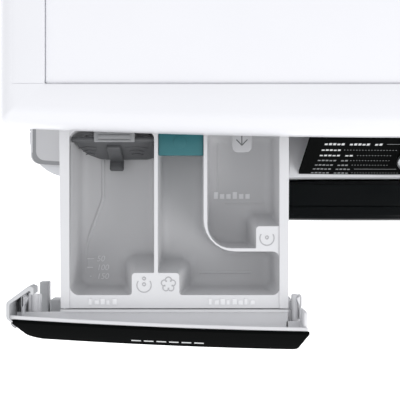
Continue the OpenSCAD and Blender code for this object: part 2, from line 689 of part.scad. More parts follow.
module drain_hose() color("#555555") {
    tube(hose_path([[pump_x, y_front + 100, pump_z + 58.2], [pump_x, y_front + 100, pump_z + 90],
        [262, y_front + 110, pump_z + 140], [283, y_front + 200, 330], [283, y_front + 380, 560],
        [270, y_front + 470, 700], [225, y_front + body_d - 40, 770], [225, y_front + body_d - 20, 770],
        [225, y_front + body_d - 9, 770]], 6), 10, 10);
    color("whitesmoke") deep(body_d, 225, 770) rotate([-90, 0, 0]) {
        translate([0, 0, -8.8]) cylinder(h = 9, r = 18.6);
        translate([0, 0, 0.1]) cylinder(h = 3, r = 24);
        translate([0, 0, 3]) cylinder(h = 10.5, r = 10);
    }
}

module pump_filter() color("#4a4a4a") deep(30, pump_x, pump_z) rotate([-90, 0, 0]) {
    translate([0, 0, -12]) cylinder(h = 11.5, r = 35);
    translate([0, 0, -22]) translate([-26, -5, 0]) cube([52, 10, 11]);
    translate([0, 0, -1]) cylinder(h = 60, r = 29);
}

module pump_impeller() color("#e8e8e8") deep(93, pump_x, pump_z) rotate([-90, 0, 0]) {
    cylinder(h = 15, r = 7);
    for (a = [0:60:300]) rotate([0, 0, a]) translate([0, -1, 0]) cube([23, 2, 14]);
}

module filter_hatch() color("white") {
    difference() {
        box(pump_x - 57, -0.2, 64, pump_x + 57, 3, 171);
        box(pump_x - 16, -1, 158, pump_x + 16, 1, 166);
    }
    for (s = [-1, 1]) {
        x = pump_x + s * 54;
        box(x - 2.4, 2, 64.5, x + 2.4, 8.6, 71.5);
        deep(6, x + s * 2.2, 68) rotate([0, 90, 0]) cylinder(h = 9, r = 3.2, center = true);
    }
}

// ---------------------------------------------------------------- door

module door_ring() color("#101010") difference() {
    f = -door_out;
    ring([
        [door_r - 4, -2], [door_r, -5], [door_r, -24], [door_r - 0.9, -24.5], [door_r, -25], [door_r, f + 4.5],
        [door_r - 1.3, f + 1.4], [door_r - 4.5, f], [door_r - 24, f - 1.2], [190, f + 1], [166, f + 5],
        [166, f + 8.4], [171, f + 9.4], [171, -22], [174, -22], [174, f + 8.4], [192, f + 4.4],
        [door_r - 22, f + 2.6], [door_r - 6, f + 4], [door_r - 3, f + 8], [door_r - 3, -5.6], [door_r - 6, -2]
    ], 180);
    box(194, -60, axis_z - 50, 245, -8, axis_z + 50);
    box(hinge_x - 12, f + 6, axis_z - 53, hinge_x + 6, 1, axis_z + 53);
}

module door_frame() color("#3c3d40") difference() {
    union() {
        ring([[160, -3], [door_r - 8, -3], [door_r - 8, -14], [door_r - 11, -14], [door_r - 11, -6],
            [172, -6], [172, -20.5], [169, -20.5], [168, -12], [160, -8]], 180);
        box(186, -30, axis_z - 54, door_r - 14, -5, axis_z + 54);
    }
    box(191, -60, axis_z - 51, 250, -9.5, axis_z + 51);
    box(197, -12, axis_z - 15, 213, 0, axis_z + 15);
    box(hinge_x - 12, -40, axis_z - 48, hinge_x + 23, 0, axis_z + 48);
    deep(-26, 198, axis_z - 60) cylinder(h = 120, r = 2.05);
}

module door_glass() color("lightcyan", 0.4) ring([
    [168.5, -27.5], [168.5, -22.5], [160, -20.5], [150, 10], [138, 52], [120, 76], [90, 90], [0, 96],
    [0, 90.5], [88, 84.6], [116, 71.5], [133, 49], [145, 8], [155.5, -25]
]);

module hinge_arm() color("silver") {
    for (z = [axis_z - 45, axis_z + 36]) {
        box(hinge_x, hinge_d - 5, z, hinge_x + 22, hinge_d + 5, z + 9);
        deep(hinge_d, hinge_x, z) cylinder(h = 9, r = 5);
    }
    box(hinge_x + 17, hinge_d - 5, axis_z - 45, hinge_x + 22, hinge_d + 5, axis_z + 45);
    deep(hinge_d, hinge_x, axis_z - 44) cylinder(h = 88, r = 3);
}

module door_handle() color("#1c1c1e") {
    difference() {
        box(196.8, -door_out + 1, axis_z - 48.6, door_r - 3, -21, axis_z + 48.6);
        box(206, -28, axis_z - 42, door_r, -20, axis_z + 42);
        deep(-26, 198, axis_z - 60) cylinder(h = 9, r = 3);
    }
    deep(-26, 198, axis_z - 53) cylinder(h = 106, r = 2);
}

module door_hook() color("silver") {
    box(201, -12, axis_z - 8, 206, 24, axis_z + 8);
    box(205, 18, axis_z - 8, 210, 24, axis_z + 8);
    deep(-12, 203.5, axis_z - 12) cylinder(h = 24, r = 2.6);
}

// ---------------------------------------------------------------- drawer

// Everything on the drawer is drawn shut and carried out by its travel
module drawer_open() translate([0, -drawer_out, 0]) children();

// Plan outlines of the three wells, drawer shut
well_front = tray_front + 9.9;
well_back = 178;
divider_x = tray_x0 + 73.4;
pre_x0 = tray_x0 + 109.4;
pre_front = tray_front + 45.2;
wash_x0 = tray_x0 + 8.2;
well_x1 = tray_x1 - 7.5;

module wash_well() translate([0, y_front]) difference() {
    round_rect(wash_x0, well_front, divider_x - 1.4, well_back, 8);
    round_rect(divider_x - 18, well_front - 9, divider_x + 6, well_front + 16.5, 4);
}

module soft_well() translate([0, y_front]) difference() {
    union() {
        round_rect(divider_x + 1.4, well_front, pre_x0, well_back, 6);
        round_rect(divider_x + 1.4, well_front, well_x1, pre_front - 2.4, 6);
    }
    round_rect(divider_x - 6, well_front - 9, divider_x + 17.4, well_front + 16.5, 4);
}

module pre_well() translate([0, y_front]) difference() {
    round_rect(pre_x0 + 2.6, pre_front, well_x1, well_back, 6);
    round_rect(well_x1 - 17.4, pre_front - 9, well_x1 + 9, pre_front + 16.5, 4);
}

module drawer_tray() color("#d8d9dc") drawer_open() difference() {
    box(tray_x0, tray_front, tray_z, tray_x1, tray_back, rim_z);
    translate([0, 0, wash_z]) linear_extrude(100) wash_well();
    translate([0, 0, soft_z]) linear_extrude(100) soft_well();
    translate([0, 0, pre_z]) linear_extrude(100) pre_well();
    // a lowered step inside the rim, and the open space behind the wells
    box(wash_x0, well_front, rim_z - 1.2, well_x1, well_back + 4, rim_z + 1);
    box(wash_x0, well_back + 4, wash_z, well_x1, tray_back - 8, rim_z + 1);
    box(wash_x0 + 4, well_back - 6, wash_z, divider_x - 5, well_back + 5, wash_z + 12);
    box(divider_x + 8, well_back + 4, tray_z - 1, well_x1 - 8, tray_back - 14, wash_z + 1);
    // slot that the release tab moves in
    box(tray_x0 + 130, well_back - 6, rim_z - 9, tray_x0 + 146.5, well_back + 6, rim_z + 1);
    // bores of the flap's pivots
    for (x = [wash_x0, divider_x - 1.4])
        deep(flap_d, x, flap_z) rotate([0, 90, 0]) cylinder(h = 4.4, r = 2.06, center = true);
}

module softener_cap() color("#3f8088") drawer_open() {
    d0 = well_back - 19;
    x0 = divider_x + 1.7;
    box(x0, d0, rim_z - 5.4, pre_x0 - 0.3, well_back - 0.3, rim_z - 3);
    box(x0, d0, rim_z - 14, pre_x0 - 0.3, d0 + 2, rim_z - 5);
    deep(d0 + 10, (divider_x + pre_x0) / 2, soft_z + 3) difference() {
        cylinder(h = rim_z - 5 - soft_z - 3, r = 6.5);
        translate([0, 0, -e]) cylinder(h = 30, r = 4);
    }
}

// The flap hangs from its pivots, leaning forwards
flap_d = 171;
flap_z = rim_z - 6;

module liquid_flap() color("#58595b") drawer_open() deep(flap_d, 0, flap_z) {
    x0 = wash_x0 + 1;
    x1 = divider_x - 2.4;
    rotate([-17.5, 0, 0]) {
        translate([x0, 0, 0]) rotate([90, 0, 0]) linear_extrude(2.6, center = true) polygon([
            [0, 0], [0, -16], [7, -29], [16, -40.5], [x1 - x0 - 5, -40.5], [x1 - x0, -36], [x1 - x0, 0]
        ]);
        translate([x0 + 25, -12.5, -39]) cube([13, 13, 4]);
    }
    translate([x0 - 2.4, 0, 0]) rotate([0, 90, 0]) cylinder(h = x1 - x0 + 4.8, r = 2);
}

module release_tab() color("#c9cacd") drawer_open() {
    d0 = well_back - 16.8;
    x0 = tray_x0 + 130.7;
    box(x0, d0, rim_z - 5, x0 + 15.1, well_back + 20, rim_z - 2.2);
    box(x0 + 3, well_back + 19, rim_z - 5, x0 + 12, tray_back - 8.6, rim_z - 2.2);
    box(x0 + 3, tray_back - 12, rim_z - 2.4, x0 + 12, tray_back - 8.6, rim_z + 0.6);
}

// Depth of the middle of the front wall at a height, at the middle of the machine
function wall_d(z) = console_set + (z - console_z) * tan(lean) + (plate_t + 2.6) / cos(lean);
function sag(x) = x * x / (2 * bow_r);

// A level shelf that starts in the bowed front wall and runs back to depth d1
module shelf(x0, x1, d1, z, t) translate([0, y_front, z]) linear_extrude(t) intersection() {
    translate([0, wall_d(z + t) + bow_r]) circle(bow_r, $fn = 720);
    translate([x0, 0]) square([x1 - x0, d1]);
}

// An upright rib across the front, from the leaning wall back to depth d1
module rib(x, t, d1, z0, z1) translate([x, y_front, 0]) rotate([90, 0, 90]) linear_extrude(t) polygon([
    [wall_d(z0) + sag(x), z0], [d1, z0], [d1, z1], [wall_d(z1) + sag(x), z1]
]);

// The shell behind the drawer's plate, with the wing that closes the machine's corner
module drawer_front() color("whitesmoke") drawer_open() {
    z0 = console_z + 4;
    top = lid_z - 5;
    x0 = -half_w + 0.8;
    x1 = split_x - 1.4;
    difference() {
        face_frame() bowed(plate_t + 0.05, plate_t + 4) translate([x0, 1.2]) square([x1 - x0, face_h - 2.4]);
        box(x0 - 2, -30, console_z - 40, x1 + 2, 60, console_z + 3);
    }
    rib(x0 + 0.3, 2.2, 50, z0, top);
    translate([0, y_front, z0]) linear_extrude(top - z0) polygon([
        [x0 + 0.3, 48], [x0 + 0.3, 51.5], [x0 + 16.6, 62], [x0 + 19, 62], [x0 + 19, 57], [x0 + 17, 57],
        [x0 + 17, 59.4], [x0 + 2.5, 50], [x0 + 2.5, 48]
    ]);
    rib(x1 - 3.4, 2.2, 54, z0, top);
    rib(x1 - 9.6, 2, 40, z0, rim_z - 6);
    shelf(x0 + 1, x1 - 1.4, tray_front - 0.6, z0, 2.4);
    shelf(tray_x0 + 2, tray_x1 - 1, tray_front - 1, rim_z - 2.6, 2.4);
    box(tray_x0 + 2, tray_front - 3, z0 + 1, tray_x1 - 1, tray_front - 0.8, rim_z - 0.3);
    box(tray_x0 + 12, tray_front - 1, z0 + 1, tray_x1 - 12, tray_front - 0.1, z0 + 12);
    // guide pins, clip arms and the hook that find the console
    rib(x0 + 5.4, 2.2, 54, z0 + 30, rim_z - 2);
    for (p = [[-285, 4.5], [-87, 3.1]]) deep(26, p[0], rim_z - 12) rotate([-90, 0, 0]) cylinder(h = 28, r = p[1]);
    box(-288, 22, z0 + 2, -281, 60, z0 + 14);
    box(-278.6, 30, z0 + 2, -270.2, 46, z0 + 24);
}

module drawer_plate() color("#101010") drawer_open() difference() {
    face_frame() bowed(0, plate_t) difference() {
        translate([-half_w + 0.6, 0.6]) square([split_x - 0.5 + half_w - 0.6, face_h - 0.8]);
        translate([-half_w + 0.6, 0.6]) difference() {
            translate([-1, -1]) square([27, 27]);
            translate([26, 26]) circle(26);
        }
    }
    box(-half_w - 1, -30, console_z - 40, split_x + 2, 60, console_z + 3);
}

cabinet_shell();
front_panel();
base_tray();
rear_cover();
cabinet_screws();
lid_frame();
lid_board();
console_carrier();
console_fascia();
display_window();
control_board();
drawer_housing();
water_distributor();
inlet_valve();
valve_hose();
fill_bellows();
door_gasket();
hinge_bracket();
door_lock();
suspension_springs();
damper_cylinders();
pump_housing();
sump_hose();
drain_hose();
feet();
transport_caps();
cord_gland();
tub_rear();
tub_front();
tub_screws();
counterweight_top();
counterweight_front();
motor_housing();
damper_rods();
bearings();
heater();
drive_belt();
drum_shell();
drum_paddles();
drum_spider();
drum_pulley();
motor_rotor();
door_ring();
door_frame();
door_glass();
hinge_arm();
door_handle();
door_hook();
drawer_tray();
drawer_front();
drawer_plate();
softener_cap();
liquid_flap();
release_tab();
program_knob();
power_button();
start_button();
filter_hatch();
pump_filter();
pump_impeller();
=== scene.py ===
"""Looks of a front load washing machine with its drawer pulled out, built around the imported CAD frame.

Shapes are drawn in millimetres as x, depth and height. Depth runs into the machine from the front panel's
face, and x = 0 is the machine's middle. What is on the drawer is drawn shut and carried out by its travel.
"""

import json
import logging
import math
from dataclasses import dataclass, field
from enum import Enum

import bmesh
import bpy
from mathutils import Matrix, Vector


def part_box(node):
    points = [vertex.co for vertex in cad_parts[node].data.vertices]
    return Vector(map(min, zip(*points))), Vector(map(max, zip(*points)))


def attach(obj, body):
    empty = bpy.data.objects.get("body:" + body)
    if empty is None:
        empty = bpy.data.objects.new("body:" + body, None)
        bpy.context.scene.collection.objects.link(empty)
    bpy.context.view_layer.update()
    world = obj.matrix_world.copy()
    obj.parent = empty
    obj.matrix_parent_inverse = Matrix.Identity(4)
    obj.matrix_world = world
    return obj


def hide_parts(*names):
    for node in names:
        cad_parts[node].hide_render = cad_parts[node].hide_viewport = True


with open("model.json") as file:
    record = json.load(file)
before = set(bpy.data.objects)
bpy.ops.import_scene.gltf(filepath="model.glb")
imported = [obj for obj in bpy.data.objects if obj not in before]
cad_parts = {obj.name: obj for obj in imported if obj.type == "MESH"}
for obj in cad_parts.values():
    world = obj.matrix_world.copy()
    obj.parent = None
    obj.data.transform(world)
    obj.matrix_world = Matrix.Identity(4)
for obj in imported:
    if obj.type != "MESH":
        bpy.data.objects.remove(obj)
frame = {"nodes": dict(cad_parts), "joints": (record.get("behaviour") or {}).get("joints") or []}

log = logging.getLogger("washing_machine")

MM = 0.001
COAT_ROUGHNESS = 0.04
Point = tuple[float, float]
Place = tuple[float, float, float]


# ------------------------------------------------------------------ finishes


def linear(code: str) -> tuple[float, float, float, float]:
    """Turns an sRGB hex colour into linear light.

    Args:
        code: Six hex digits.

    Returns:
        Red, green, blue and an alpha of one.
    """
    parts = [int(code[i : i + 2], 16) / 255 for i in (0, 2, 4)]
    return (*[p / 12.92 if p <= 0.04045 else ((p + 0.055) / 1.055) ** 2.4 for p in parts], 1.0)


def add_node(
    tree: bpy.types.NodeTree,
    kind: str,
    settings: dict[str, object] | None = None,
    sockets: dict[str | int, object] | None = None,
) -> bpy.types.Node:
    """Adds a shader node.

    Args:
        tree: The material's node tree.
        kind: The node's type name.
        settings: Attributes set on the node.
        sockets: Values for its inputs, or other nodes' outputs to link to them.

    Returns:
        The new node.
    """
    node = tree.nodes.new(kind)
    for key, value in (settings or {}).items():
        setattr(node, key, value)
    for key, value in (sockets or {}).items():
        if isinstance(value, bpy.types.NodeSocket):
            tree.links.new(value, node.inputs[key])
        else:
            node.inputs[key].default_value = value
    return node


def calculate(
    tree: bpy.types.NodeTree,
    operation: str,
    first: object,
    second: object,
) -> bpy.types.NodeSocket:
    """Adds a maths node on two values or outputs, and returns its output."""
    return add_node(tree, "ShaderNodeMath", {"operation": operation}, {0: first, 1: second}).outputs[0]


@dataclass(frozen=True)
class Finish:
    """A moulded or coated surface with a fine grain and a slight mottle.

    Attributes:
        title: The material's name.
        colour: Its sRGB hex colour.
        fleck: The hex colour that its mottle drifts to.
        roughness: Middle value of its roughness.
        metallic: One for bare metal.
        ior: Index of refraction of the coating or plastic.
        grain_mm: Size of the surface's grain.
        grain_deep: Height of the grain, in millimetres.
        mottle_mm: Size of the patches of the mottle.
        coat: Strength of a clear coat.
        specular: Specular level of the base.
    """

    title: str
    colour: str
    fleck: str
    roughness: float = 0.4
    metallic: float = 0.0
    ior: float = 1.5
    grain_mm: float = 0.8
    grain_deep: float = 0.01
    mottle_mm: float = 60.0
    coat: float = 0.0
    specular: float = 0.5

    def material(self) -> bpy.types.Material:
        """Returns the finish's material, made on its first use."""
        made = bpy.data.materials.get(self.title)
        if made:
            return made
        made = bpy.data.materials.new(self.title)
        made.use_nodes = True
        tree = made.node_tree
        shader = tree.nodes["Principled BSDF"]
        shader.inputs["Metallic"].default_value = self.metallic
        if not self.metallic:
            shader.inputs["IOR"].default_value = self.ior
            shader.inputs["Specular IOR Level"].default_value = self.specular
        if self.coat:
            shader.inputs["Coat Weight"].default_value = self.coat
            shader.inputs["Coat Roughness"].default_value = COAT_ROUGHNESS
        where = add_node(tree, "ShaderNodeTexCoord").outputs["Object"]
        self.dress(tree, shader, where)
        return made

    def noise(self, tree: bpy.types.NodeTree, where: object, size_mm: float, detail: float = 2.0) -> object:
        """Returns the output of a noise whose patches are about size_mm across."""
        scale = 1 / (size_mm * MM)
        noise = add_node(
            tree, "ShaderNodeTexNoise", None, {"Vector": where, "Scale": scale, "Detail": detail}
        )
        return noise.outputs["Fac"]

    def bump(
        self,
        tree: bpy.types.NodeTree,
        shader: bpy.types.Node,
        height: object,
        deep_mm: float,
    ) -> None:
        """Links a height to the shader's normal, deep_mm from lowest to highest."""
        node = add_node(
            tree, "ShaderNodeBump", None, {"Height": height, "Distance": deep_mm * MM, "Strength": 1.0}
        )
        tree.links.new(node.outputs["Normal"], shader.inputs["Normal"])

    def tint(self, tree: bpy.types.NodeTree, shader: bpy.types.Node, amount: object) -> object:
        """Mixes the two colours by an amount and links them to the shader's base colour."""
        mix = add_node(
            tree,
            "ShaderNodeMix",
            {"data_type": "RGBA"},
            {0: amount, 6: linear(self.colour), 7: linear(self.fleck)},
        )
        tree.links.new(mix.outputs[2], shader.inputs["Base Color"])
        return mix.outputs[2]

    def dress(self, tree: bpy.types.NodeTree, shader: bpy.types.Node, where: object) -> None:
        """Adds the mottle, the uneven gloss and the grain."""
        mottle = self.noise(tree, where, self.mottle_mm, 3.0)
        self.tint(tree, shader, mottle)
        self.uneven_gloss(tree, shader, mottle, 0.05)
        self.bump(tree, shader, self.noise(tree, where, self.grain_mm), self.grain_deep)

    def uneven_gloss(
        self,
        tree: bpy.types.NodeTree,
        shader: bpy.types.Node,
        by: object,
        spread: float,
    ) -> None:
        """Lets the roughness drift by spread on each side of its middle value."""
        drift = add_node(
            tree,
            "ShaderNodeMapRange",
            None,
            {"Value": by, "To Min": self.roughness - spread, "To Max": self.roughness + spread},
        )
        tree.links.new(drift.outputs["Result"], shader.inputs["Roughness"])


@dataclass(frozen=True)
class Brushed(Finish):
    """Bare metal with fine lines that run along one axis, stretched in that direction."""

    along: int = 1
    line_mm: float = 0.6

    def dress(self, tree: bpy.types.NodeTree, shader: bpy.types.Node, where: object) -> None:
        """Adds brushing lines as a stretched noise in gloss and height."""
        stretch = [1.0, 1.0, 1.0]
        stretch[self.along] = 0.03
        turned = add_node(
            tree, "ShaderNodeMapping", None, {"Vector": where, "Scale": stretch}
        ).outputs["Vector"]
        lines = self.noise(tree, turned, self.line_mm, 4.0)
        self.tint(tree, shader, self.noise(tree, where, self.mottle_mm))
        self.uneven_gloss(tree, shader, lines, 0.12)
        self.bump(tree, shader, lines, self.grain_deep)


@dataclass(frozen=True)
class Perforated(Brushed):
    """Drum steel with rows of punched holes, drawn in the sheet as dots of painted shade with a rolled
    edge.
    """

    pitch_mm: float = 14.0
    hole: float = 0.2
    axis_height: float = 0.455
    radius_mm: float = 238.0

    def dress(self, tree: bpy.types.NodeTree, shader: bpy.types.Node, where: object) -> None:
        """Adds the brushing, then the holes by turn round the drum's axis and by depth."""
        super().dress(tree, shader, where)
        split = add_node(tree, "ShaderNodeSeparateXYZ", None, {0: where})
        height = calculate(tree, "SUBTRACT", split.outputs["Z"], self.axis_height)
        turn = calculate(tree, "ARCTAN2", height, split.outputs["X"])
        count = round(2 * math.pi * self.radius_mm / self.pitch_mm)
        away = []
        for value, times in ((turn, count / (2 * math.pi)), (split.outputs["Y"], 1 / (self.pitch_mm * MM))):
            part = calculate(tree, "FLOORED_MODULO", calculate(tree, "MULTIPLY", value, times), 1.0)
            away.append(calculate(tree, "SUBTRACT", part, 0.5))
        joined = add_node(tree, "ShaderNodeCombineXYZ", None, {0: away[0], 1: away[1]})
        far = add_node(tree, "ShaderNodeVectorMath", {"operation": "LENGTH"}, {0: joined.outputs[0]})
        inside = add_node(
            tree,
            "ShaderNodeMapRange",
            {"interpolation_type": "SMOOTHSTEP"},
            {"Value": far.outputs["Value"], "From Min": self.hole, "From Max": self.hole * 1.3},
        )
        # The holes are dark dots of painted shade mixed into the sheet's colour; the bump gives their
        # rolled edge.
        base = shader.inputs["Base Color"].links[0].from_socket
        dark = add_node(
            tree, "ShaderNodeMix", {"data_type": "RGBA"}, {
                0: inside.outputs["Result"], 6: linear("101112"), 7: base
            }
        )
        tree.links.new(dark.outputs[2], shader.inputs["Base Color"])
        self.bump(tree, shader, inside.outputs["Result"], 0.8)


@dataclass(frozen=True)
class ClearGlass(Finish):
    """Pressed borosilicate glass: clear, faintly green, with a slight waviness."""

    def dress(self, tree: bpy.types.NodeTree, shader: bpy.types.Node, where: object) -> None:
        """Makes the shader let light through and waves the surface a little."""
        shader.inputs["Transmission Weight"].default_value = 1.0
        self.tint(tree, shader, self.noise(tree, where, self.mottle_mm))
        self.uneven_gloss(tree, shader, self.noise(tree, where, self.mottle_mm), 0.01)
        self.bump(tree, shader, self.noise(tree, where, 40.0), self.grain_deep)


@dataclass(frozen=True)
class Pebbled(Finish):
    """Cast concrete or iron, with pits and clear patches of tone."""

    def dress(self, tree: bpy.types.NodeTree, shader: bpy.types.Node, where: object) -> None:
        """Adds pits as cells and a strong mottle."""
        cells = add_node(
            tree, "ShaderNodeTexVoronoi", None, {"Vector": where, "Scale": 1 / (self.grain_mm * MM)}
        )
        self.tint(tree, shader, self.noise(tree, where, self.mottle_mm, 6.0))
        self.uneven_gloss(tree, shader, cells.outputs["Distance"], 0.08)
        self.bump(tree, shader, cells.outputs["Distance"], self.grain_deep)


# Baked powder enamel on sheet steel: smooth, with the faint orange peel that powder leaves.
ENAMEL_WHITE = Finish(
    "powder_enamel_white", "E6E7E9", "E1E2E5", 0.3, grain_mm=2.5, grain_deep=0.012, coat=0.3
)
ENAMEL_GREY = Finish(
    "galvanised_sheet", "9B9EA2", "8B8E93", 0.42, 1.0, grain_mm=3.0, grain_deep=0.02, mottle_mm=14
)
# Injection moulded ABS: the lid is polished, the drawer has a finer satin skin.
ABS_WHITE = Finish("moulded_abs_white", "EFEFF2", "EBEBEF", 0.3, ior=1.53, grain_mm=1.2, grain_deep=0.006)
BOARD_WHITE = Finish("laminate_board_white", "F0F0F3", "ECECF0", 0.42, grain_mm=1.0, grain_deep=0.02)
ABS_CARRIER = Finish(
    "moulded_abs_carrier", "E8E8EA", "E3E3E5", 0.38, ior=1.53, grain_mm=0.8, grain_deep=0.006
)
# Carrier white greyed for the drawer front's wing: painted shade, not a second plastic.
ABS_HALF_SHADE = Finish("moulded_abs_painted_half_shade", "CFD0D2", "C9CACC", 0.45, ior=1.53, grain_mm=0.7, grain_deep=0.008)
# Carrier white darkened to grey for the shell's inner faces and posts: painted shade, not a duller skin.
ABS_SHADE = Finish(
    "moulded_abs_painted_shade", "B2B3B5", "ACADAF", 0.55, ior=1.53, grain_mm=0.6, grain_deep=0.01
)
PP_TRAY = Finish("polypropylene_tray", "E3E3E5", "DEDEE0", 0.34, ior=1.49, grain_mm=0.9, grain_deep=0.005)
PP_FLAP = Finish(
    "polypropylene_flap_grey", "5E5F61", "4A4B4D", 0.45, ior=1.49, grain_mm=0.7, grain_deep=0.01
)
# Mid grey for white plastic that lies in shade: painted shade on the recess collar and the flap clip.
PP_SHADE_GREY = Finish(
    "polypropylene_painted_shade_grey", "9C9D9F", "949597", 0.45, ior=1.49, grain_mm=0.9, grain_deep=0.006
)
PP_TEAL = Finish("polypropylene_teal", "33747A", "2E6C73", 0.4, ior=1.49, grain_mm=0.7, grain_deep=0.006)
# Tray grey darkened for the wells' hollows and the recess floor: painted shade, not a texture of the
# plastic.
PP_WELL_SHADE = Finish(
    "polypropylene_well_painted_shade", "D2D2D3", "CCCCCE", 0.5, ior=1.49, grain_mm=0.6, grain_deep=0.01
)
# Tray plastic darkened for the pads' thin raised marks: painted shade along the relief.
PP_MARK_SHADE = Finish("polypropylene_relief_painted_shade", "B9B9BB", "B4B4B6", 0.4, ior=1.49, grain_mm=0.9, grain_deep=0.004)
# Tray plastic lightened for the raised bars and numbers: painted highlight on their tops.
PP_RAISED_HIGHLIGHT = Finish(
    "polypropylene_raised_painted_highlight", "F2F2F4", "EEEEF0", 0.34, ior=1.49, grain_mm=0.9, grain_deep=0.004
)
PP_TAB = Finish("polypropylene_tab", "BABABC", "B4B4B7", 0.36, ior=1.49, grain_mm=0.8, grain_deep=0.006)
PP_TUB = Finish("filled_polypropylene_tub", "B4B6B8", "A9ABAE", 0.55, grain_mm=1.5, grain_deep=0.03)
PP_BLUE = Finish("clear_polypropylene_blue", "9FB2C4", "93A8BC", 0.3, grain_mm=1.5, grain_deep=0.01)
PA_DARK = Finish("glass_filled_nylon_dark", "1E1F21", "28292B", 0.5, grain_mm=0.6, grain_deep=0.02)
FRAME_GREY = Finish("satin_abs_door_frame", "3D3F42", "36383B", 0.4, grain_mm=0.6, grain_deep=0.01)
# Black plate, door ring and display window. The plate has next to no sheen, the window is glossy.
BLACK_GLOSS = Finish(
    "satin_black_plate", "0D0E0E", "0B0C0C", 0.4, ior=1.49, grain_mm=6, grain_deep=0.002, coat=0.008,
    specular=0.0,
)
BLACK_DOOR = Finish(
    "polished_black_door", "080B0C", "0A0D0E", 0.25, ior=1.5, grain_mm=6, grain_deep=0.002, specular=0.08
)
DISPLAY_BLACK = Finish(
    "smoked_display_window", "060708", "08090A", 0.08, ior=1.49, grain_mm=9, grain_deep=0.001
)
SILVER_KNOB = Brushed("spun_silver_cap", "A9ABAE", "9FA1A4", 0.3, 1.0, grain_deep=0.006, along=0)
# Sheet and bar metals
STAINLESS = Brushed("brushed_stainless", "C6C8CA", "B6B8BB", 0.28, 1.0, grain_deep=0.008)
DRUM_STEEL = Perforated("punched_drum_steel", "C9CBCD", "B9BBBE", 0.24, 1.0, grain_deep=0.006)
ZINC = Finish(
    "zinc_plated_steel", "B5B7B9", "9EA1A4", 0.34, 1.0, grain_mm=1.2, grain_deep=0.01, mottle_mm=10
)
CAST_ALLOY = Pebbled(
    "die_cast_aluminium", "A7AAAD", "94979B", 0.48, 1.0, grain_mm=1.6, grain_deep=0.04, mottle_mm=25
)
CONCRETE = Pebbled("cast_concrete", "8D8A84", "767470", 0.9, grain_mm=3.0, grain_deep=0.25, mottle_mm=18)
# Elastomers
RUBBER_GREY = Finish("epdm_seal_grey", "777A7E", "6C6F73", 0.62, grain_mm=0.6, grain_deep=0.02)
RUBBER_BLACK = Finish("epdm_hose_black", "191A1A", "232424", 0.68, grain_mm=0.8, grain_deep=0.03)
GLASS = ClearGlass("borosilicate_glass", "F2F7F6", "EAF3F1", 0.02, ior=1.47, grain_mm=8, grain_deep=0.02)
CIRCUIT = Finish("green_circuit_board", "1D5A37", "246B42", 0.4, grain_mm=1.5, grain_deep=0.02, mottle_mm=4)
INK_WHITE = Finish("printed_white_ink", "C9CACA", "BFC0C0", 0.5, grain_mm=0.5, grain_deep=0.002)
INK_GREY = Finish("printed_grey_ink", "6E7071", "666869", 0.5, grain_mm=0.5, grain_deep=0.002)

FINISH_NODES: dict[Finish, tuple[str, ...]] = {
    ENAMEL_WHITE: ("cabinet_shell", "front_panel", "filter_hatch"),
    PA_DARK: ("base_tray", "door_lock", "damper_cylinders", "pump_filter"),
    ENAMEL_GREY: ("rear_cover",),
    ZINC: (
        "cabinet_screws", "hinge_bracket", "suspension_springs", "tub_screws", "damper_rods",
        "bearings", "motor_rotor", "hinge_arm", "door_hook",
    ),
    ABS_CARRIER: ("console_carrier",),
    BLACK_GLOSS: ("console_fascia",),
    DISPLAY_BLACK: ("display_window",),
    CIRCUIT: ("control_board",),
    PP_TRAY: ("drawer_housing", "inlet_valve"),
    PP_BLUE: ("water_distributor",),
    RUBBER_BLACK: ("valve_hose", "fill_bellows", "sump_hose", "feet", "cord_gland", "drive_belt"),
    PP_TUB: ("pump_housing", "transport_caps", "tub_rear", "tub_front", "drum_paddles", "pump_impeller"),
    RUBBER_GREY: ("drain_hose",),
    CONCRETE: ("counterweight_top", "counterweight_front"),
    CAST_ALLOY: ("motor_housing", "drum_spider", "drum_pulley"),
    STAINLESS: ("heater",),
    DRUM_STEEL: ("drum_shell",),
    FRAME_GREY: ("door_frame",),
    BLACK_DOOR: ("door_handle",),
    SILVER_KNOB: ("power_button", "start_button"),
}


# ------------------------------------------------------------------ datum and shaping tools


# The pump filter starts this far behind the front panel's face, and the console this far over the panel.
FILTER_DEPTH = 8.0
CONSOLE_GAP = 1.5


@dataclass(frozen=True)
class Datum:
    """Places read from the CAD frame, in millimetres.

    Attributes:
        front: Y of the front panel's face in the row frame.
        console: Height of the console's lower edge.
        lid: Height of the lid's underside.
        top: Height of the lid's top.
        rim: Height of the drawer's rim.
        axis: Height of the drum's axis.
        travel: How far the drawer is out.
    """

    front: float
    console: float
    lid: float
    top: float
    rim: float
    axis: float
    travel: float

    @classmethod
    def from_frame(cls) -> "Datum":
        """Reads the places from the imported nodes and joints."""
        door_low, door_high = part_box("door_ring")
        travel = next(j for j in frame["joints"] if j["name"] == "drawer_slide")["range_m"][1]
        return cls(
            front=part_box("pump_filter")[0].y / MM - FILTER_DEPTH,
            console=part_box("front_panel")[1].z / MM + CONSOLE_GAP,
            lid=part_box("lid_frame")[0].z / MM,
            top=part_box("lid_frame")[1].z / MM,
            rim=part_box("drawer_tray")[1].z / MM,
            axis=(door_low.z + door_high.z) / 2 / MM,
            travel=travel / MM,
        )


DATUM = Datum.from_frame()
LEAN = math.radians(20)
DRAWER_LEAN = math.radians(19)
BOW = 4600.0
FACE_SET = 0.8
# Height over the console's lower edge that the drawer's front has to keep when it is shut
SHUT_CLEARANCE = 3.1
# Steps along the lid's bowed front and round each of its corners
FRONT_STEPS = 32
CORNER_STEPS = 8


def sag(x: float, bow: float = BOW) -> float:
    """Returns how far a bowed front falls back at x."""
    return x * x / (2 * bow)


def wall_depth(z: float, x: float = 0.0) -> float:
    """Returns the depth of the leaning face at a height and an x."""
    return FACE_SET + (z - DATUM.console) * math.tan(LEAN) + sag(x)


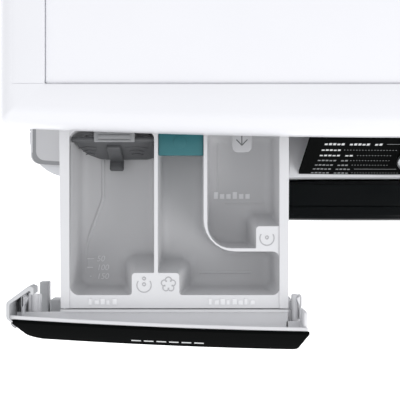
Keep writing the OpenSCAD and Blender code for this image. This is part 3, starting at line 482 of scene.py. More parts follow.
def new_solid() -> bmesh.types.BMesh:
    """Returns an empty mesh under construction."""
    return bmesh.new()


def sharp_edges(bm: bmesh.types.BMesh, angle: float = 30.0) -> list[bmesh.types.BMEdge]:
    """Returns the edges whose faces meet at more than an angle in degrees."""
    limit = math.radians(angle)
    return [e for e in bm.edges if len(e.link_faces) == 2 and e.calc_face_angle(0) > limit]


def round_edges(
    bm: bmesh.types.BMesh,
    edges: list[bmesh.types.BMEdge],
    radius: float,
    segments: int = 3,
) -> None:
    """Rounds edges with a bevel.

    Args:
        bm: The mesh.
        edges: The edges to round.
        radius: Bevel width in millimetres.
        segments: Steps across the round.
    """
    if edges:
        bmesh.ops.bevel(
            bm,
            geom=edges,
            offset=radius,
            segments=segments,
            profile=0.5,
            affect="EDGES",
            clamp_overlap=True,
            material=-1,
        )


def block(low: Place, high: Place, edge: float = 0.0) -> bmesh.types.BMesh:
    """Makes a box between two corners, with rounded edges if edge is given."""
    part = new_solid()
    bmesh.ops.create_cube(part, size=1.0)
    size = Vector(high) - Vector(low)
    bmesh.ops.scale(part, vec=size, verts=part.verts)
    bmesh.ops.translate(part, vec=(Vector(high) + Vector(low)) / 2, verts=part.verts)
    if edge:
        round_edges(part, list(part.edges), edge, 3)
    return part


def merge_into(bm: bmesh.types.BMesh, part: bmesh.types.BMesh) -> None:
    """Copies a part into a mesh and frees the part."""
    bmesh.ops.recalc_face_normals(part, faces=part.faces)
    mesh = bpy.data.meshes.new("part")
    part.to_mesh(mesh)
    part.free()
    bm.from_mesh(mesh)
    bpy.data.meshes.remove(mesh)


def add_block(bm: bmesh.types.BMesh, low: Place, high: Place, edge: float = 0.0) -> None:
    """Adds a box between two corners, with rounded edges if edge is given."""
    merge_into(bm, block(low, high, edge))


def add_rod(
    bm: bmesh.types.BMesh,
    start: Place,
    end: Place,
    radius: float,
    edge: float = 0.0,
    segments: int = 32,
) -> None:
    """Adds a rod between two points, with rounded end rims if edge is given."""
    part = new_solid()
    along = Vector(end) - Vector(start)
    bmesh.ops.create_cone(
        part,
        cap_ends=True,
        segments=segments,
        radius1=radius,
        radius2=radius,
        depth=along.length,
    )
    if edge:
        round_edges(part, sharp_edges(part, 50), edge, 3)
    turn = along.to_track_quat("Z", "Y").to_matrix().to_4x4()
    middle = Matrix.Translation((Vector(end) + Vector(start)) / 2)
    bmesh.ops.transform(part, matrix=middle @ turn, verts=part.verts)
    merge_into(bm, part)


def prism(
    outline: list[Point],
    z0: float,
    z1: float,
    radii: list[float] | None = None,
) -> bmesh.types.BMesh:
    """Makes an upright prism over a plan outline.

    Args:
        outline: Plan points as x and depth, in order.
        z0: Lower height.
        z1: Upper height.
        radii: Corner radius at each point, or nothing for sharp corners.

    Returns:
        The prism.
    """
    return frustum(outline, outline, z0, z1, radii)


def frustum(
    top: list[Point],
    bottom: list[Point],
    z0: float,
    z1: float,
    radii: list[float] | None = None,
) -> bmesh.types.BMesh:
    """Makes a solid between two outlines with as many corners, rounding its upright edges.

    Args:
        top: Upper outline.
        bottom: Lower outline.
        z0: Height of the lower outline.
        z1: Height of the upper outline.
        radii: Radius for each upright edge, or nothing for sharp ones.

    Returns:
        The solid.
    """
    radii = radii or [0.0] * len(bottom)
    rings = [(round_corners(bottom, radii), z0), (round_corners(top, radii), z1)]
    return loft([[(x, d, z) for x, d in ring] for ring, z in rings], closed=False)


def round_corners(points: list[Point], radii: list[float], steps: int = 7) -> list[Point]:
    """Rounds the corners of an outline with circular arcs.

    Args:
        points: The corners in order.
        radii: Radius at each corner; zero leaves it sharp.
        steps: Steps along each arc.

    Returns:
        The rounded outline, with one point for a sharp corner and steps + 1 for a rounded one.
    """
    out: list[Point] = []
    for i, here in enumerate(points):
        if not radii[i]:
            out.append(here)
            continue
        mid = Vector(here)
        to_last = Vector(points[i - 1]) - mid
        to_next = Vector(points[(i + 1) % len(points)]) - mid
        half = to_last.angle(to_next) / 2
        cut = min(radii[i] / math.tan(half), to_last.length * 0.49, to_next.length * 0.49)
        a = mid + to_last.normalized() * cut
        b = mid + to_next.normalized() * cut
        weight = math.sin(half)
        for k in range(steps + 1):
            t = k / steps
            share = (1 - t) ** 2 + 2 * weight * t * (1 - t) + t * t
            p = (a * (1 - t) ** 2 + mid * 2 * weight * t * (1 - t) + b * t * t) / share
            out.append((p.x, p.y))
    return out


def inset_outline(points: list[Point], by: float) -> list[Point]:
    """Moves every side of an outline inwards by a distance."""
    turn = sum(points[i - 1][0] * p[1] - p[0] * points[i - 1][1] for i, p in enumerate(points))
    side = 1.0 if turn > 0 else -1.0
    out: list[Point] = []
    for i, here in enumerate(points):
        mid = Vector(here)
        a = (mid - Vector(points[i - 1])).normalized()
        b = (Vector(points[(i + 1) % len(points)]) - mid).normalized()
        na, nb = Vector((-a.y, a.x)) * side, Vector((-b.y, b.x)) * side
        p = mid + (na + nb) * by / (1 + na.dot(nb))
        out.append((p.x, p.y))
    return out


def level_edges(bm: bmesh.types.BMesh, z: float) -> list[bmesh.types.BMEdge]:
    """Returns the edges of a solid that lie at one height and bound its flat end."""
    return [
        e for e in bm.edges if all(abs(v.co.z - z) < 1e-3 for v in e.verts) and e.calc_face_angle(0) > 0.3
    ]


def loft(loops: list[list[Place]], closed: bool = True) -> bmesh.types.BMesh:
    """Bridges rings of points that have as many points each.

    Args:
        loops: The rings in order.
        closed: Whether the last ring joins the first; otherwise both ends are capped.

    Returns:
        The skin.
    """
    bm = new_solid()
    rings = []
    for loop in loops:
        verts = [bm.verts.new(p) for p in loop]
        rings.append([bm.edges.new((verts[i], verts[i - 1])) for i in range(len(verts))])
    for first, second in zip(rings, rings[1:]):
        bmesh.ops.bridge_loops(bm, edges=first + second)
    if closed:
        bmesh.ops.bridge_loops(bm, edges=rings[-1] + rings[0])
    else:
        bmesh.ops.contextual_create(bm, geom=rings[0])
        bmesh.ops.contextual_create(bm, geom=rings[-1])
    bmesh.ops.recalc_face_normals(bm, faces=bm.faces)
    return bm


def lathe(profile: list[Point], steps: int = 160, centre: Place | None = None) -> bmesh.types.BMesh:
    """Spins a closed profile of radius and depth about the drum's axis, or about a centre.

    Args:
        profile: Closed outline as radius and depth.
        steps: Steps in the turn.
        centre: A point on the axis, at depth zero of the profile.

    Returns:
        The turned solid.
    """
    at = Vector(centre or (0.0, 0.0, DATUM.axis))
    bm = new_solid()
    verts = [bm.verts.new((at.x + r, at.y + d, at.z)) for r, d in profile]
    edges = [bm.edges.new((verts[i], verts[i - 1])) for i in range(len(verts))]
    bmesh.ops.spin(
        bm, geom=verts + edges, cent=at, axis=(
            0, 1, 0
        ), angle=2 * math.pi, steps=steps, use_merge=True, use_duplicate=False
    )
    bmesh.ops.remove_doubles(bm, verts=bm.verts, dist=1e-3)
    bmesh.ops.recalc_face_normals(bm, faces=bm.faces)
    return bm


def rounded_profile(points: list[Point], radius: float, steps: int = 4) -> list[Point]:
    """Rounds each corner of a closed profile by at most a radius."""
    return round_corners(points, [radius] * len(points), steps)


def carve(base: bmesh.types.BMesh, cutters: list[bmesh.types.BMesh]) -> bmesh.types.BMesh:
    """Cuts solids out of a solid.

    Args:
        base: The solid, which is freed.
        cutters: The other solids, which are freed.

    Returns:
        The result.
    """
    made = []
    for bm in [base, *cutters]:
        mesh = bpy.data.meshes.new("carving")
        bm.to_mesh(mesh)
        bm.free()
        obj = bpy.data.objects.new("carving", mesh)
        bpy.context.scene.collection.objects.link(obj)
        made.append(obj)
    for cutter in made[1:]:
        step = made[0].modifiers.new("cut", "BOOLEAN")
        step.operation = "DIFFERENCE"
        step.solver = "EXACT"
        step.object = cutter
    result = new_solid()
    graph = bpy.context.evaluated_depsgraph_get()
    graph.update()
    result.from_mesh(made[0].evaluated_get(graph).to_mesh())
    for obj in made:
        mesh = obj.data
        bpy.data.objects.remove(obj)
        bpy.data.meshes.remove(mesh)
    bmesh.ops.remove_doubles(result, verts=result.verts, dist=1e-3)
    return result


def slice_across(bm: bmesh.types.BMesh, axis: int, step: float) -> None:
    """Cuts a solid into strips along an axis so that it can be bent."""
    low = min(v.co[axis] for v in bm.verts)
    high = max(v.co[axis] for v in bm.verts)
    normal = Vector((0, 0, 0))
    normal[axis] = 1.0
    count = max(1, round((high - low) / step))
    for k in range(1, count):
        at = Vector((0, 0, 0))
        at[axis] = low + (high - low) * k / count
        geom = list(bm.verts) + list(bm.edges) + list(bm.faces)
        bmesh.ops.bisect_plane(bm, geom=geom, dist=1e-4, plane_co=at, plane_no=normal)


def tip(bm: bmesh.types.BMesh, angle: float, at: Place = (0.0, 0.0, 0.0)) -> None:
    """Turns a solid about the x axis by an angle in radians, then moves it to a place."""
    turn = Matrix.Rotation(angle, 4, "X")
    bmesh.ops.transform(bm, matrix=Matrix.Translation(at) @ turn, verts=bm.verts)


def onto_face(bm: bmesh.types.BMesh, step: float = 12.0, lean: float = LEAN) -> None:
    """Bends a flat solid to the console's bow and leans it back.

    Args:
        bm: A solid drawn flat: x across, depth inwards from the face, height up the slope.
        step: Width of the strips it is bent in.
        lean: Angle it leans back by.
    """
    slice_across(bm, 0, step)
    for v in bm.verts:
        v.co.y += sag(v.co.x)
    tip(bm, -lean, (0, FACE_SET, DATUM.console))


def onto_slope(bm: bmesh.types.BMesh, x: float) -> None:
    """Leans a solid back with the face at x without bending it."""
    bmesh.ops.translate(bm, vec=(0, sag(x), 0), verts=bm.verts)
    tip(bm, -LEAN, (0, FACE_SET, DATUM.console))


def trim_below(bm: bmesh.types.BMesh, z: float) -> None:
    """Cuts a solid off level at a height and closes the cut."""
    geom = list(bm.verts) + list(bm.edges) + list(bm.faces)
    cut = bmesh.ops.bisect_plane(
        bm, geom=geom, dist=1e-5, plane_co=(
            0, 0, z
        ), plane_no=(0, 0, 1), clear_inner=True, clear_outer=False
    )
    rim = [e for e in cut["geom_cut"] if isinstance(e, bmesh.types.BMEdge)]
    bmesh.ops.edgenet_fill(bm, edges=rim)
    bmesh.ops.recalc_face_normals(bm, faces=bm.faces)


class Shade(Enum):
    """How sharp an edge has to be to stay crisp, in degrees."""

    CRISP = 28
    SOFT = 45


def dress_piece(
    name: str,
    bm: bmesh.types.BMesh,
    body: str,
    finish: Finish,
    replaces: tuple[str, ...] = (),
    shift: Place = (0.0, 0.0, 0.0),
    edge: float = 0.0,
    shade: Shade = Shade.CRISP,
) -> bpy.types.Object:
    """Turns a finished mesh into a piece of the machine.

    Args:
        name: The piece's name.
        bm: Its mesh in machine millimetres, which is freed.
        body: The CAD body it moves with.
        finish: Its finish.
        replaces: CAD nodes it stands for.
        shift: Where it is moved from the place it was drawn at.
        edge: Width of a live bevel on its crisp edges, in millimetres.
        shade: Which edges stay crisp.

    Returns:
        The piece's object.
    """
    mesh = bpy.data.meshes.new(name)
    bm.to_mesh(mesh)
    bm.free()
    mesh.transform(Matrix.Scale(MM, 4) @ Matrix.Translation(Vector(shift) + Vector((0, DATUM.front, 0))))
    mesh.shade_smooth()
    mesh.set_sharp_from_angle(angle=math.radians(shade.value))
    mesh.materials.append(finish.material())
    obj = bpy.data.objects.new(name, mesh)
    bpy.context.scene.collection.objects.link(obj)
    if edge:
        bevel = obj.modifiers.new("edge", "BEVEL")
        bevel.width = edge * MM
        bevel.segments = 3
        bevel.limit_method = "ANGLE"
        bevel.angle_limit = math.radians(40)
        bevel.harden_normals = True
    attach(obj, body)
    if replaces:
        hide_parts(*replaces)
    log.info("piece %s on %s: %d faces, %s", name, body, len(mesh.polygons), finish.title)
    return obj


# ------------------------------------------------------------------ lid


@dataclass
class Lid:
    """The white lid: a moulded frame with a rounded edge, and a board set into it."""

    half_width: float = 300.0
    front: float = 26.0
    back: float = 540.0
    bow: float = 6300.0
    corner: float = 6.5
    edge_round: float = 14.0
    bar: float = 33.2
    board_front: float = 61.4
    board_drop: float = 2.6

    def outline(self, inset: float, z: float, inner: bool = False) -> list[Place]:
        """Returns a ring round the lid.

        Args:
            inset: Distance in from the outer edge, or from the edge of the board's place.
            z: Height of the ring.
            inner: Whether the ring belongs to the board's place, whose front is straight.

        Returns:
            Points of the ring.
        """
        bow = 1e9 if inner else self.bow
        w = self.half_width - inset - (self.bar if inner else 0)
        front = (self.board_front if inner else self.front) + inset
        back = self.back - inset - (self.bar if inner else 0)
        r = 1.2 if inner else max(self.corner - inset * 0.6, 1.5)
        ring: list[Place] = []
        straight = w - r
        for k in range(FRONT_STEPS + 1):
            x = -straight + 2 * straight * k / FRONT_STEPS
            ring.append((x, front + sag(x, bow), z))
        side = front + sag(straight, bow) + r
        for centre, start in (
            ((straight, side), -90), ((straight, back - r), 0), ((-straight, back - r), 90)
        ):
            for k in range(CORNER_STEPS + 1):
                a = math.radians(start + 90 * k / CORNER_STEPS)
                ring.append((centre[0] + r * math.cos(a), centre[1] + r * math.sin(a), z))
        for k in range(CORNER_STEPS):
            a = math.radians(180 + 90 * k / CORNER_STEPS)
            ring.append((-straight + r * math.cos(a), side + r * math.sin(a), z))
        # the first corner starts where the front ends
        return ring[: FRONT_STEPS + 1] + ring[FRONT_STEPS + 2 :]

    def build_frame(self) -> None:
        """Lofts the frame's rounded edge, flat top and inner wall, and scores its corner joints."""
        base, top = DATUM.lid, DATUM.top
        start = top - self.edge_round
        rings = [
            self.outline(3.0, base + 1.0),
            self.outline(1.2, base),
            self.outline(0.3, base + 1.2),
            self.outline(0.0, base + 3.5),
        ]
        for k in range(CORNER_STEPS + 1):
            a = math.radians(90 * k / CORNER_STEPS)
            rings.append(
                self.outline(self.edge_round * (1 - math.cos(a)), start + self.edge_round * math.sin(a))
            )
        for extra, z in ((-1.2, top), (-0.5, top - 0.2), (0.0, top - 0.9), (0.1, base + 7)):
            rings.append(self.outline(extra, z, True))
        rings.append(self.outline(4.0, base + 7))
        scores = []
        for side in (-1, 1):
            x0, x1 = sorted((side * (self.half_width - self.bar - 1), side * (self.half_width - 6)))
            scores.append(
                block((x0, self.board_front - 0.2, top - 0.5), (x1, self.board_front + 0.2, top + 1))
            )
        bm = carve(loft(rings), scores)
        dress_piece(
            "lid_moulding", bm, "cabinet", ABS_WHITE, ("lid_frame",), shade=Shade.SOFT
        )

    def build_board(self) -> None:
        """Sets the board into the frame with a narrow shadow gap."""
        z1 = DATUM.top - self.board_drop
        steps = ((0.5, DATUM.lid + 10), (0.5, z1 - 0.6), (0.7, z1 - 0.2), (1.1, z1))
        rings = [self.outline(inset, z, True) for inset, z in steps]
        dress_piece(
            "lid_inlay", loft(rings, closed=False), "cabinet", BOARD_WHITE, ("lid_board",)
        )

    def build(self) -> None:
        """Builds the lid."""
        self.build_frame()
        self.build_board()


# ------------------------------------------------------------------ drawer


class Mark(Enum):
    """Marks moulded into the drawer's pads."""

    ONE_DROP = 1
    TWO_DROPS = 2
    FLOWER = 5


@dataclass
class Well:
    """One compartment of the drawer.

    Attributes:
        top: Plan corners at the rim.
        bottom: The same corners just above the floor.
        top_radii: Radius of each corner at the rim.
        bottom_radii: Radius of each corner at the floor.
        floor: Height of the floor.
        fillet: Radius between wall and floor.
    """

    top: list[Point]
    bottom: list[Point]
    top_radii: list[float]
    bottom_radii: list[float]
    floor: float
    fillet: float = 7.0

    def cutter(self, rim: float) -> bmesh.types.BMesh:
        """Returns the solid that hollows the compartment out from above its rim."""
        mouth = round_corners(self.top, self.top_radii)
        rings = [[(x, d, rim + 6) for x, d in mouth], [(x, d, rim) for x, d in mouth]]
        for k in range(7):
            a = math.radians(90 * k / 6)
            ring = inset_outline(self.bottom, self.fillet * (1 - math.cos(a)))
            z = self.floor + self.fillet * (1 - math.sin(a))
            rings.append([(x, d, z) for x, d in round_corners(ring, self.bottom_radii)])
        return loft(rings, closed=False)


@dataclass
class Drawer:
    """The detergent drawer: tray, marks, flap, siphon cap, release tab, front shell and black plate."""

    left: float = -266.0
    right: float = -92.0
    tray_front: float = 43.4
    tray_back: float = 247.0
    tray_floor: float = 747.5
    rim_left: float = -257.8
    rim_right: float = -99.5
    well_front: float = 53.3
    well_back: float = 178.0
    step: float = 1.1
    plate_left: float = -299.6
    plate_right: float = -79.5
    plate_top: float = 78.4
    shift: Place = field(default_factory=lambda: (0.0, -DATUM.travel, 0.0))

    def dress(
        self,
        name: str,
        bm: bmesh.types.BMesh,
        finish: Finish,
        slot: str,
        replaces: tuple[str, ...] = (),
        body: str = "drawer",
        edge: float = 0.0,
        shade: Shade = Shade.CRISP,
    ) -> bpy.types.Object:
        """Dresses a piece drawn on the shut drawer and carries it out with the drawer."""
        return dress_piece(name, bm, body, finish, replaces, self.shift, edge, shade)

    def wells(self) -> list[Well]:
        """Returns the wash, softener and prewash compartments."""
        f, b, l, r = self.well_front, self.well_back, self.rim_left, self.rim_right
        wash = Well(
            top=[(l, b), (l, f), (-210.6, f), (-210.6, 69.8), (-194.0, 69.8), (-194.0, b)],
            bottom=[
                (-255.6, b), (-256.2, 55.5), (-219.5, 55.5), (-219.5, 80.5), (-195.4, 80.5), (-195.4, b)
            ],
            top_radii=[7.0, 7.0, 2.2, 2.4, 0.6, 7.0],
            bottom_radii=[9.0, 9.0, 3.0, 9.0, 2.0, 9.0],
            floor=750.0,
        )
        soft = Well(
            top=[
                (-191.2, b), (-191.2, 69.8), (-175.2, 69.8), (-175.2, f), (r, f), (r, 86.3), (-156.6, 86.3),
                (-156.6, b),
            ],
            bottom=[
                (-190.0, b), (-190.0, 77.5), (-167.5, 77.5), (-167.5, 55.5), (-101.7, 55.5), (-101.7, 84.0)
            ]
            + [(-158.2, 84.0), (-158.2, b)],
            top_radii=[4.0, 0.6, 2.4, 2.2, 5.0, 5.0, 24.0, 4.0],
            bottom_radii=[4.0, 2.0, 8.0, 3.0, 7.0, 6.0, 25.0, 4.0],
            floor=752.5,
        )
        pre = Well(
            top=[(-154.0, b), (-154.0, 88.6), (-116.9, 88.6), (-116.9, 105.1), (r, 105.1), (r, b)],
            bottom=[
                (-152.4, b), (-152.4, 90.4), (-121.6, 90.4), (-121.6, 113.5), (-101.4, 113.5), (-101.4, b)
            ],
            top_radii=[6.0, 21.5, 0.6, 2.4, 1.0, 6.0],
            bottom_radii=[7.0, 20.5, 2.0, 7.0, 2.0, 7.0],
            floor=753.5,
        )
        return [wash, soft, pre]

    def build_tray(self) -> None:
        """Hollows the compartments out of the tray and opens its back."""
        rim = DATUM.rim
        plan = [
            (self.left, self.tray_back), (self.left + 1.6, self.tray_front),
            (self.right - 0.8, self.tray_front),
        ]
        plan.append((self.right, self.tray_back))
        bm = prism(plan, self.tray_floor, rim, [4.0, 1.0, 1.0, 4.0])
        l, r, b, above = self.rim_left, self.rim_right, self.well_back, rim + 8
        lowered = block((l, self.tray_front - 2, rim - self.step), (r, b + 4, above))
        back = block((l, b + 4, 751), (r, self.tray_back - 8, above))
        sluice = block((l + 5, b - 6, 750.4), (-198.0, b + 6, 762))
        slot = block((-136.0, b - 6, rim - 9), (-119.4, b + 6, above))
        cutters = [lowered, back, sluice, slot]
        bm = carve(bm, cutters + [w.cutter(rim) for w in self.wells()])
        tray = self.dress(
            "drawer_compartments", bm, PP_TRAY, "tray_grey", ("drawer_tray",), edge=0.45, shade=Shade.SOFT
        )
        tray.data.materials.append(PP_WELL_SHADE.material())
        # Faces inside the wells, below the lowered rim, take the darker grey: painted shade in the hollows.
        for face in tray.data.polygons:
            inside = self.rim_left - 0.3 < face.center.x / MM < self.rim_right + 0.3
            below = face.center.z / MM < rim - self.step - 0.4
            behind = face.center.y / MM > DATUM.front - DATUM.travel + self.well_front - 0.3
            face.material_index = int(inside and below and behind)

    def ring_mark(
        self,
        bm: bmesh.types.BMesh,
        x: float,
        d: float,
        z: float,
        radius: float,
        start: float,
        end: float,
    ) -> None:
        """Adds a thin raised arc as a chain of short rods.

        Args:
            bm: The mesh it is added to.
            x: Centre of the arc.
            d: Depth of the centre.
            z: Height it lies at.
            radius: Radius of the arc.
            start: First angle in degrees.
            end: Last angle in degrees.
        """
        steps = max(6, round(abs(end - start) / 15))
        turns = [math.radians(start + (end - start) * k / steps) for k in range(steps + 1)]
        spots = [(x + radius * math.cos(t), d + radius * math.sin(t), z) for t in turns]
        for a, b in zip(spots, spots[1:]):
            add_rod(bm, a, b, 0.42, segments=8)

    def pad_mark(self, bm: bmesh.types.BMesh, mark: Mark, x: float, d: float) -> None:
        """Adds a pad's mark: a basin with drops, or a flower."""
        z = DATUM.rim - self.step
        if mark is Mark.FLOWER:
            for k in range(5):
                a = math.radians(90 + 72 * k)
                self.ring_mark(
                    bm, x + 3.3 * math.cos(a), d + 3.3 * math.sin(a), z, 2.2, 90 + 72 * k - 130,
                    90 + 72 * k + 130,
                )
            return
        self.ring_mark(bm, x, d, z, 5.4, -215, 35)
        for k in range(mark.value):
            self.ring_mark(bm, x, d + 0.6 + 4.4 * k, z, 1.1, 0, 360)

    def build_marks(self) -> None:
        """Moulds the marks on the pads, the bars on the front rim, the ridge and the filling scale."""
        bm = new_solid()
        self.pad_mark(bm, Mark.TWO_DROPS, -201.6, 60.8)
        self.pad_mark(bm, Mark.FLOWER, -183.2, 61.4)
        self.pad_mark(bm, Mark.ONE_DROP, -108.8, 96.2)
        # The marks are the tray's own plastic; their darker grey is painted shade.
        self.dress("drawer_marks", bm, PP_MARK_SHADE, "tray_grey")
        z = DATUM.rim - self.step
        bm = new_solid()
        for start, count, d in ((-243.5, 5, 48.2), (-153.0, 8, 48.2)):
            for k in range(count):
                width = 3.4 if k % 3 else 2.4
                x = start + k * 4.5
                add_block(
                    bm, (x, d - 2.0, z - 0.3), (x + width, d + (1.4 if k % 2 else 2.6), z + 0.7), 0.25
                )
        for k in range(3):
            d = 77.2 - 7.2 * k
            x = -252.5 - 1.0 * k
            add_block(bm, (x, d - 0.45, 749.7), (x + 6.5, d + 0.45, 750.6), 0.2)
        for k in range(6):
            x = -148.5 + k * 5.2
            add_block(bm, (x, 126.0, 753.2), (x + 3.6, 130.0 + (1.6 if k % 3 == 0 else 0.0), 754.1), 0.25)
        # The bars are the tray's own plastic; their lighter tone is painted highlight.
        self.dress("drawer_raised_bars", bm, PP_RAISED_HIGHLIGHT, "tray_grey")
        bm = new_solid()
        wash, _, pre = self.wells()
        spine = [
            (-238.6, 168.0), (-238.6, 128.0), (-240.0, 122.0), (-251.0, 92.0), (-252.6, 84.0),
            (-252.8, 62.0),
        ]
        for a, b in zip(spine, spine[1:]):
            add_rod(bm, (*a, wash.floor - 0.6), (*b, wash.floor - 0.6), 1.7, segments=20)
        for a, b in (((-139.0, 122.5), (-104.0, 122.5)), ((-145.0, 128.0), (-145.0, 172.0))):
            add_rod(bm, (*a, pre.floor - 0.7), (*b, pre.floor - 0.7), 1.1, segments=16)
        add_rod(bm, (-160.0, 66.0, 751.7), (-118.0, 66.0, 751.7), 1.4, segments=16)
        # The floor relief takes the wells' painted-shade grey.
        self.dress("drawer_floor_relief", bm, PP_WELL_SHADE, "tray_grey", shade=Shade.SOFT)
        for k, amount in enumerate(("50", "100", "150")):
            self.build_number(amount, -244.0, 75.0 - 7.2 * k, wash.floor)

    def build_number(self, amount: str, x: float, d: float, z: float) -> None:
        """Moulds a number of the filling scale into the wash compartment's floor."""
        curve = bpy.data.curves.new("scale_number", "FONT")
        curve.body = amount
        curve.size = 6.6
        curve.extrude = 0.35
        curve.shear = 0.2
        maker = bpy.data.objects.new("scale_number", curve)
        bpy.context.scene.collection.objects.link(maker)
        bpy.context.view_layer.update()
        bm = new_solid()
        bm.from_mesh(maker.evaluated_get(bpy.context.evaluated_depsgraph_get()).to_mesh())
        bpy.data.objects.remove(maker)
        bmesh.ops.remove_doubles(bm, verts=bm.verts, dist=1e-4)
        bmesh.ops.translate(bm, vec=(x, d, z + 0.25), verts=bm.verts)
        # The numbers' lighter tone is painted highlight on the tray's own plastic.
        self.dress(f"scale_{amount}", bm, PP_RAISED_HIGHLIGHT, "tray_grey")

    def build_flap(self) -> None:
        """Builds the dosing flap with its tongue, clip and arrow ribs, and the clip it hangs from."""
        hinge = (171.0, DATUM.rim - 6)
        x0, x1 = self.rim_left + 3.6, -195.6
        bm = prism(
            [(x0, 0), (x0, -12), (x0 + 5, -28), (x0 + 15, -40.5), (x1 - 6, -40.5), (x1, -36), (x1, 0)],
            -1.3,
            1.3,
            [1.0, 8.0, 9.0, 9.0, 8.0, 3.0, 1.0],
        )
        round_edges(bm, level_edges(bm, 1.3), 0.6, 2)
        # lying flat so far: the plan's second axis becomes the height
        tip(bm, math.radians(90))
        tongue = -226.3
        add_block(bm, (tongue - 5.4, -4.5, -38.5), (tongue + 5.4, -0.5, -8.0), 1.4)
        add_block(bm, (tongue - 5.6, -11.4, -40.5), (tongue + 5.6, -2.0, -36.0), 1.4)
        add_block(bm, (tongue - 4.4, -10.2, -37.0), (tongue + 4.4, -3.0, -35.4), 0.6)
        for centre, wide in ((-246.5, 7.0), (-209.0, 9.0)):
            for k in range(3):
                half = wide / (1 + 0.5 * k)
                z = -14.0 - 7.0 * k
                add_rod(bm, (centre - half, -1.5, z), (centre, -1.5, z + 3.0), 0.35, segments=8)
                add_rod(bm, (centre, -1.5, z + 3.0), (centre + half, -1.5, z), 0.35, segments=8)
        tip(bm, math.radians(-17.5), (0, *hinge))
        add_rod(bm, (x0 - 2.6, *hinge), (x1 + 1.8, *hinge), 2.0, edge=0.3)
        self.dress(
            "dosing_flap", bm, PP_FLAP, "flap_grey", ("liquid_flap",), body="flap", shade=Shade.SOFT
        )
        clip = new_solid()
        z = DATUM.rim - 2.6
        add_block(clip, (-239.8, 169.0, z - 2.2), (-208.8, 177.2, z + 0.4), 1.0)
        add_block(clip, (-236.5, 169.2, z), (-212.0, 170.6, z + 1.3), 0.4)
        add_block(clip, (-236.5, 171.4, z), (-212.0, 174.4, z + 1.3), 0.5)
        # The clip's mid grey is painted shade under the lid.
        self.dress("flap_clip", clip, PP_SHADE_GREY, "tray_grey", shade=Shade.SOFT)

    def build_cap(self) -> None:
        """Builds the siphon cap over the softener compartment's drain."""
        rim = DATUM.rim
        bm = new_solid()
        add_block(bm, (-190.9, 159.0, rim - 5.4), (-156.9, self.well_back - 0.4, rim - 3.0), 0.5)
        add_block(bm, (-190.9, 159.0, rim - 14.0), (-156.9, 161.2, rim - 4.4), 0.5)
        add_rod(bm, (-174.6, 169.0, 756.0), (-174.6, 169.0, rim - 5.0), 6.4, edge=0.5)
        add_rod(bm, (-174.6, 169.0, rim - 3.4), (-174.6, 169.0, rim - 2.6), 5.0, edge=0.3)
        self.dress("siphon_cap", bm, PP_TEAL, "teal", ("softener_cap",), shade=Shade.SOFT)

    def build_tab(self) -> None:
        """Builds the release tab, with an arrow that points the way it is pressed."""
        z = DATUM.rim - 2.2
        x0, x1, d0 = -135.3, -120.2, 161.2
        bm = prism([(x0, 198), (x0, d0), (x1, d0), (x1, 198)], z - 2.8, z, [2.0, 4.6, 4.6, 2.0])
        round_edges(bm, level_edges(bm, z), 0.6, 3)
        add_block(bm, (x0 + 3, 197, z - 2.8), (x1 - 3, 238.2, z), 0.5)
        add_block(bm, (x0 + 3, 235.0, z - 0.4), (x1 - 3, 238.2, z + 2.6), 0.5)
        self.dress(
            "release_tongue", bm, PP_TAB, "tab_grey", ("release_tab",), body="release", shade=Shade.SOFT
        )
        arrow = new_solid()
        middle = (x0 + x1) / 2
        for a, b in (((0, 14.0), (0, 5.4)), ((-4.2, 9.6), (0, 5.2)), ((4.2, 9.6), (0, 5.2))):
            start = (middle + a[0], d0 + a[1], z - 0.1)
            add_rod(arrow, start, (middle + b[0], d0 + b[1], z - 0.1), 0.42, segments=10)
        self.dress("release_arrow", arrow, INK_GREY, "tab_grey", body="release")

    def rib(
        self,
        bm: bmesh.types.BMesh,
        x: float,
        thick: float,
        back: float,
        z0: float,
        z1: float,
        edge: float = 0.5,
    ) -> None:
        """Adds an upright rib from the leaning wall back to a depth.

        Args:
            bm: The mesh it is added to.
            x: Its left face.
            thick: Its thickness.
            back: Depth of its back edge.
            z0: Lower height.
            z1: Upper height.
            edge: Rounding of its edges.
        """
        inside = 4.5 / math.cos(LEAN)
        fronts = [wall_depth(z, x) + inside for z in (z1, z0)]
        top, foot = [[(x, d), (x, back), (x + thick, back), (x + thick, d)] for d in fronts]
        part = frustum(top, foot, z0, z1)
        round_edges(part, list(part.edges), edge, 2)
        merge_into(bm, part)

    def shelf(
        self,
        bm: bmesh.types.BMesh,
        x0: float,
        x1: float,
        back: float,
        z: float,
        thick: float,
    ) -> None:
        """Adds a level shelf from the bowed wall back to a depth."""
        part = block((x0, 0.0, z), (x1, 1.0, z + thick))
        slice_across(part, 0, 14.0)
        for v in part.verts:
            v.co.y = back if v.co.y > 0.5 else wall_depth(z + thick, v.co.x) + 4.2
        merge_into(bm, part)

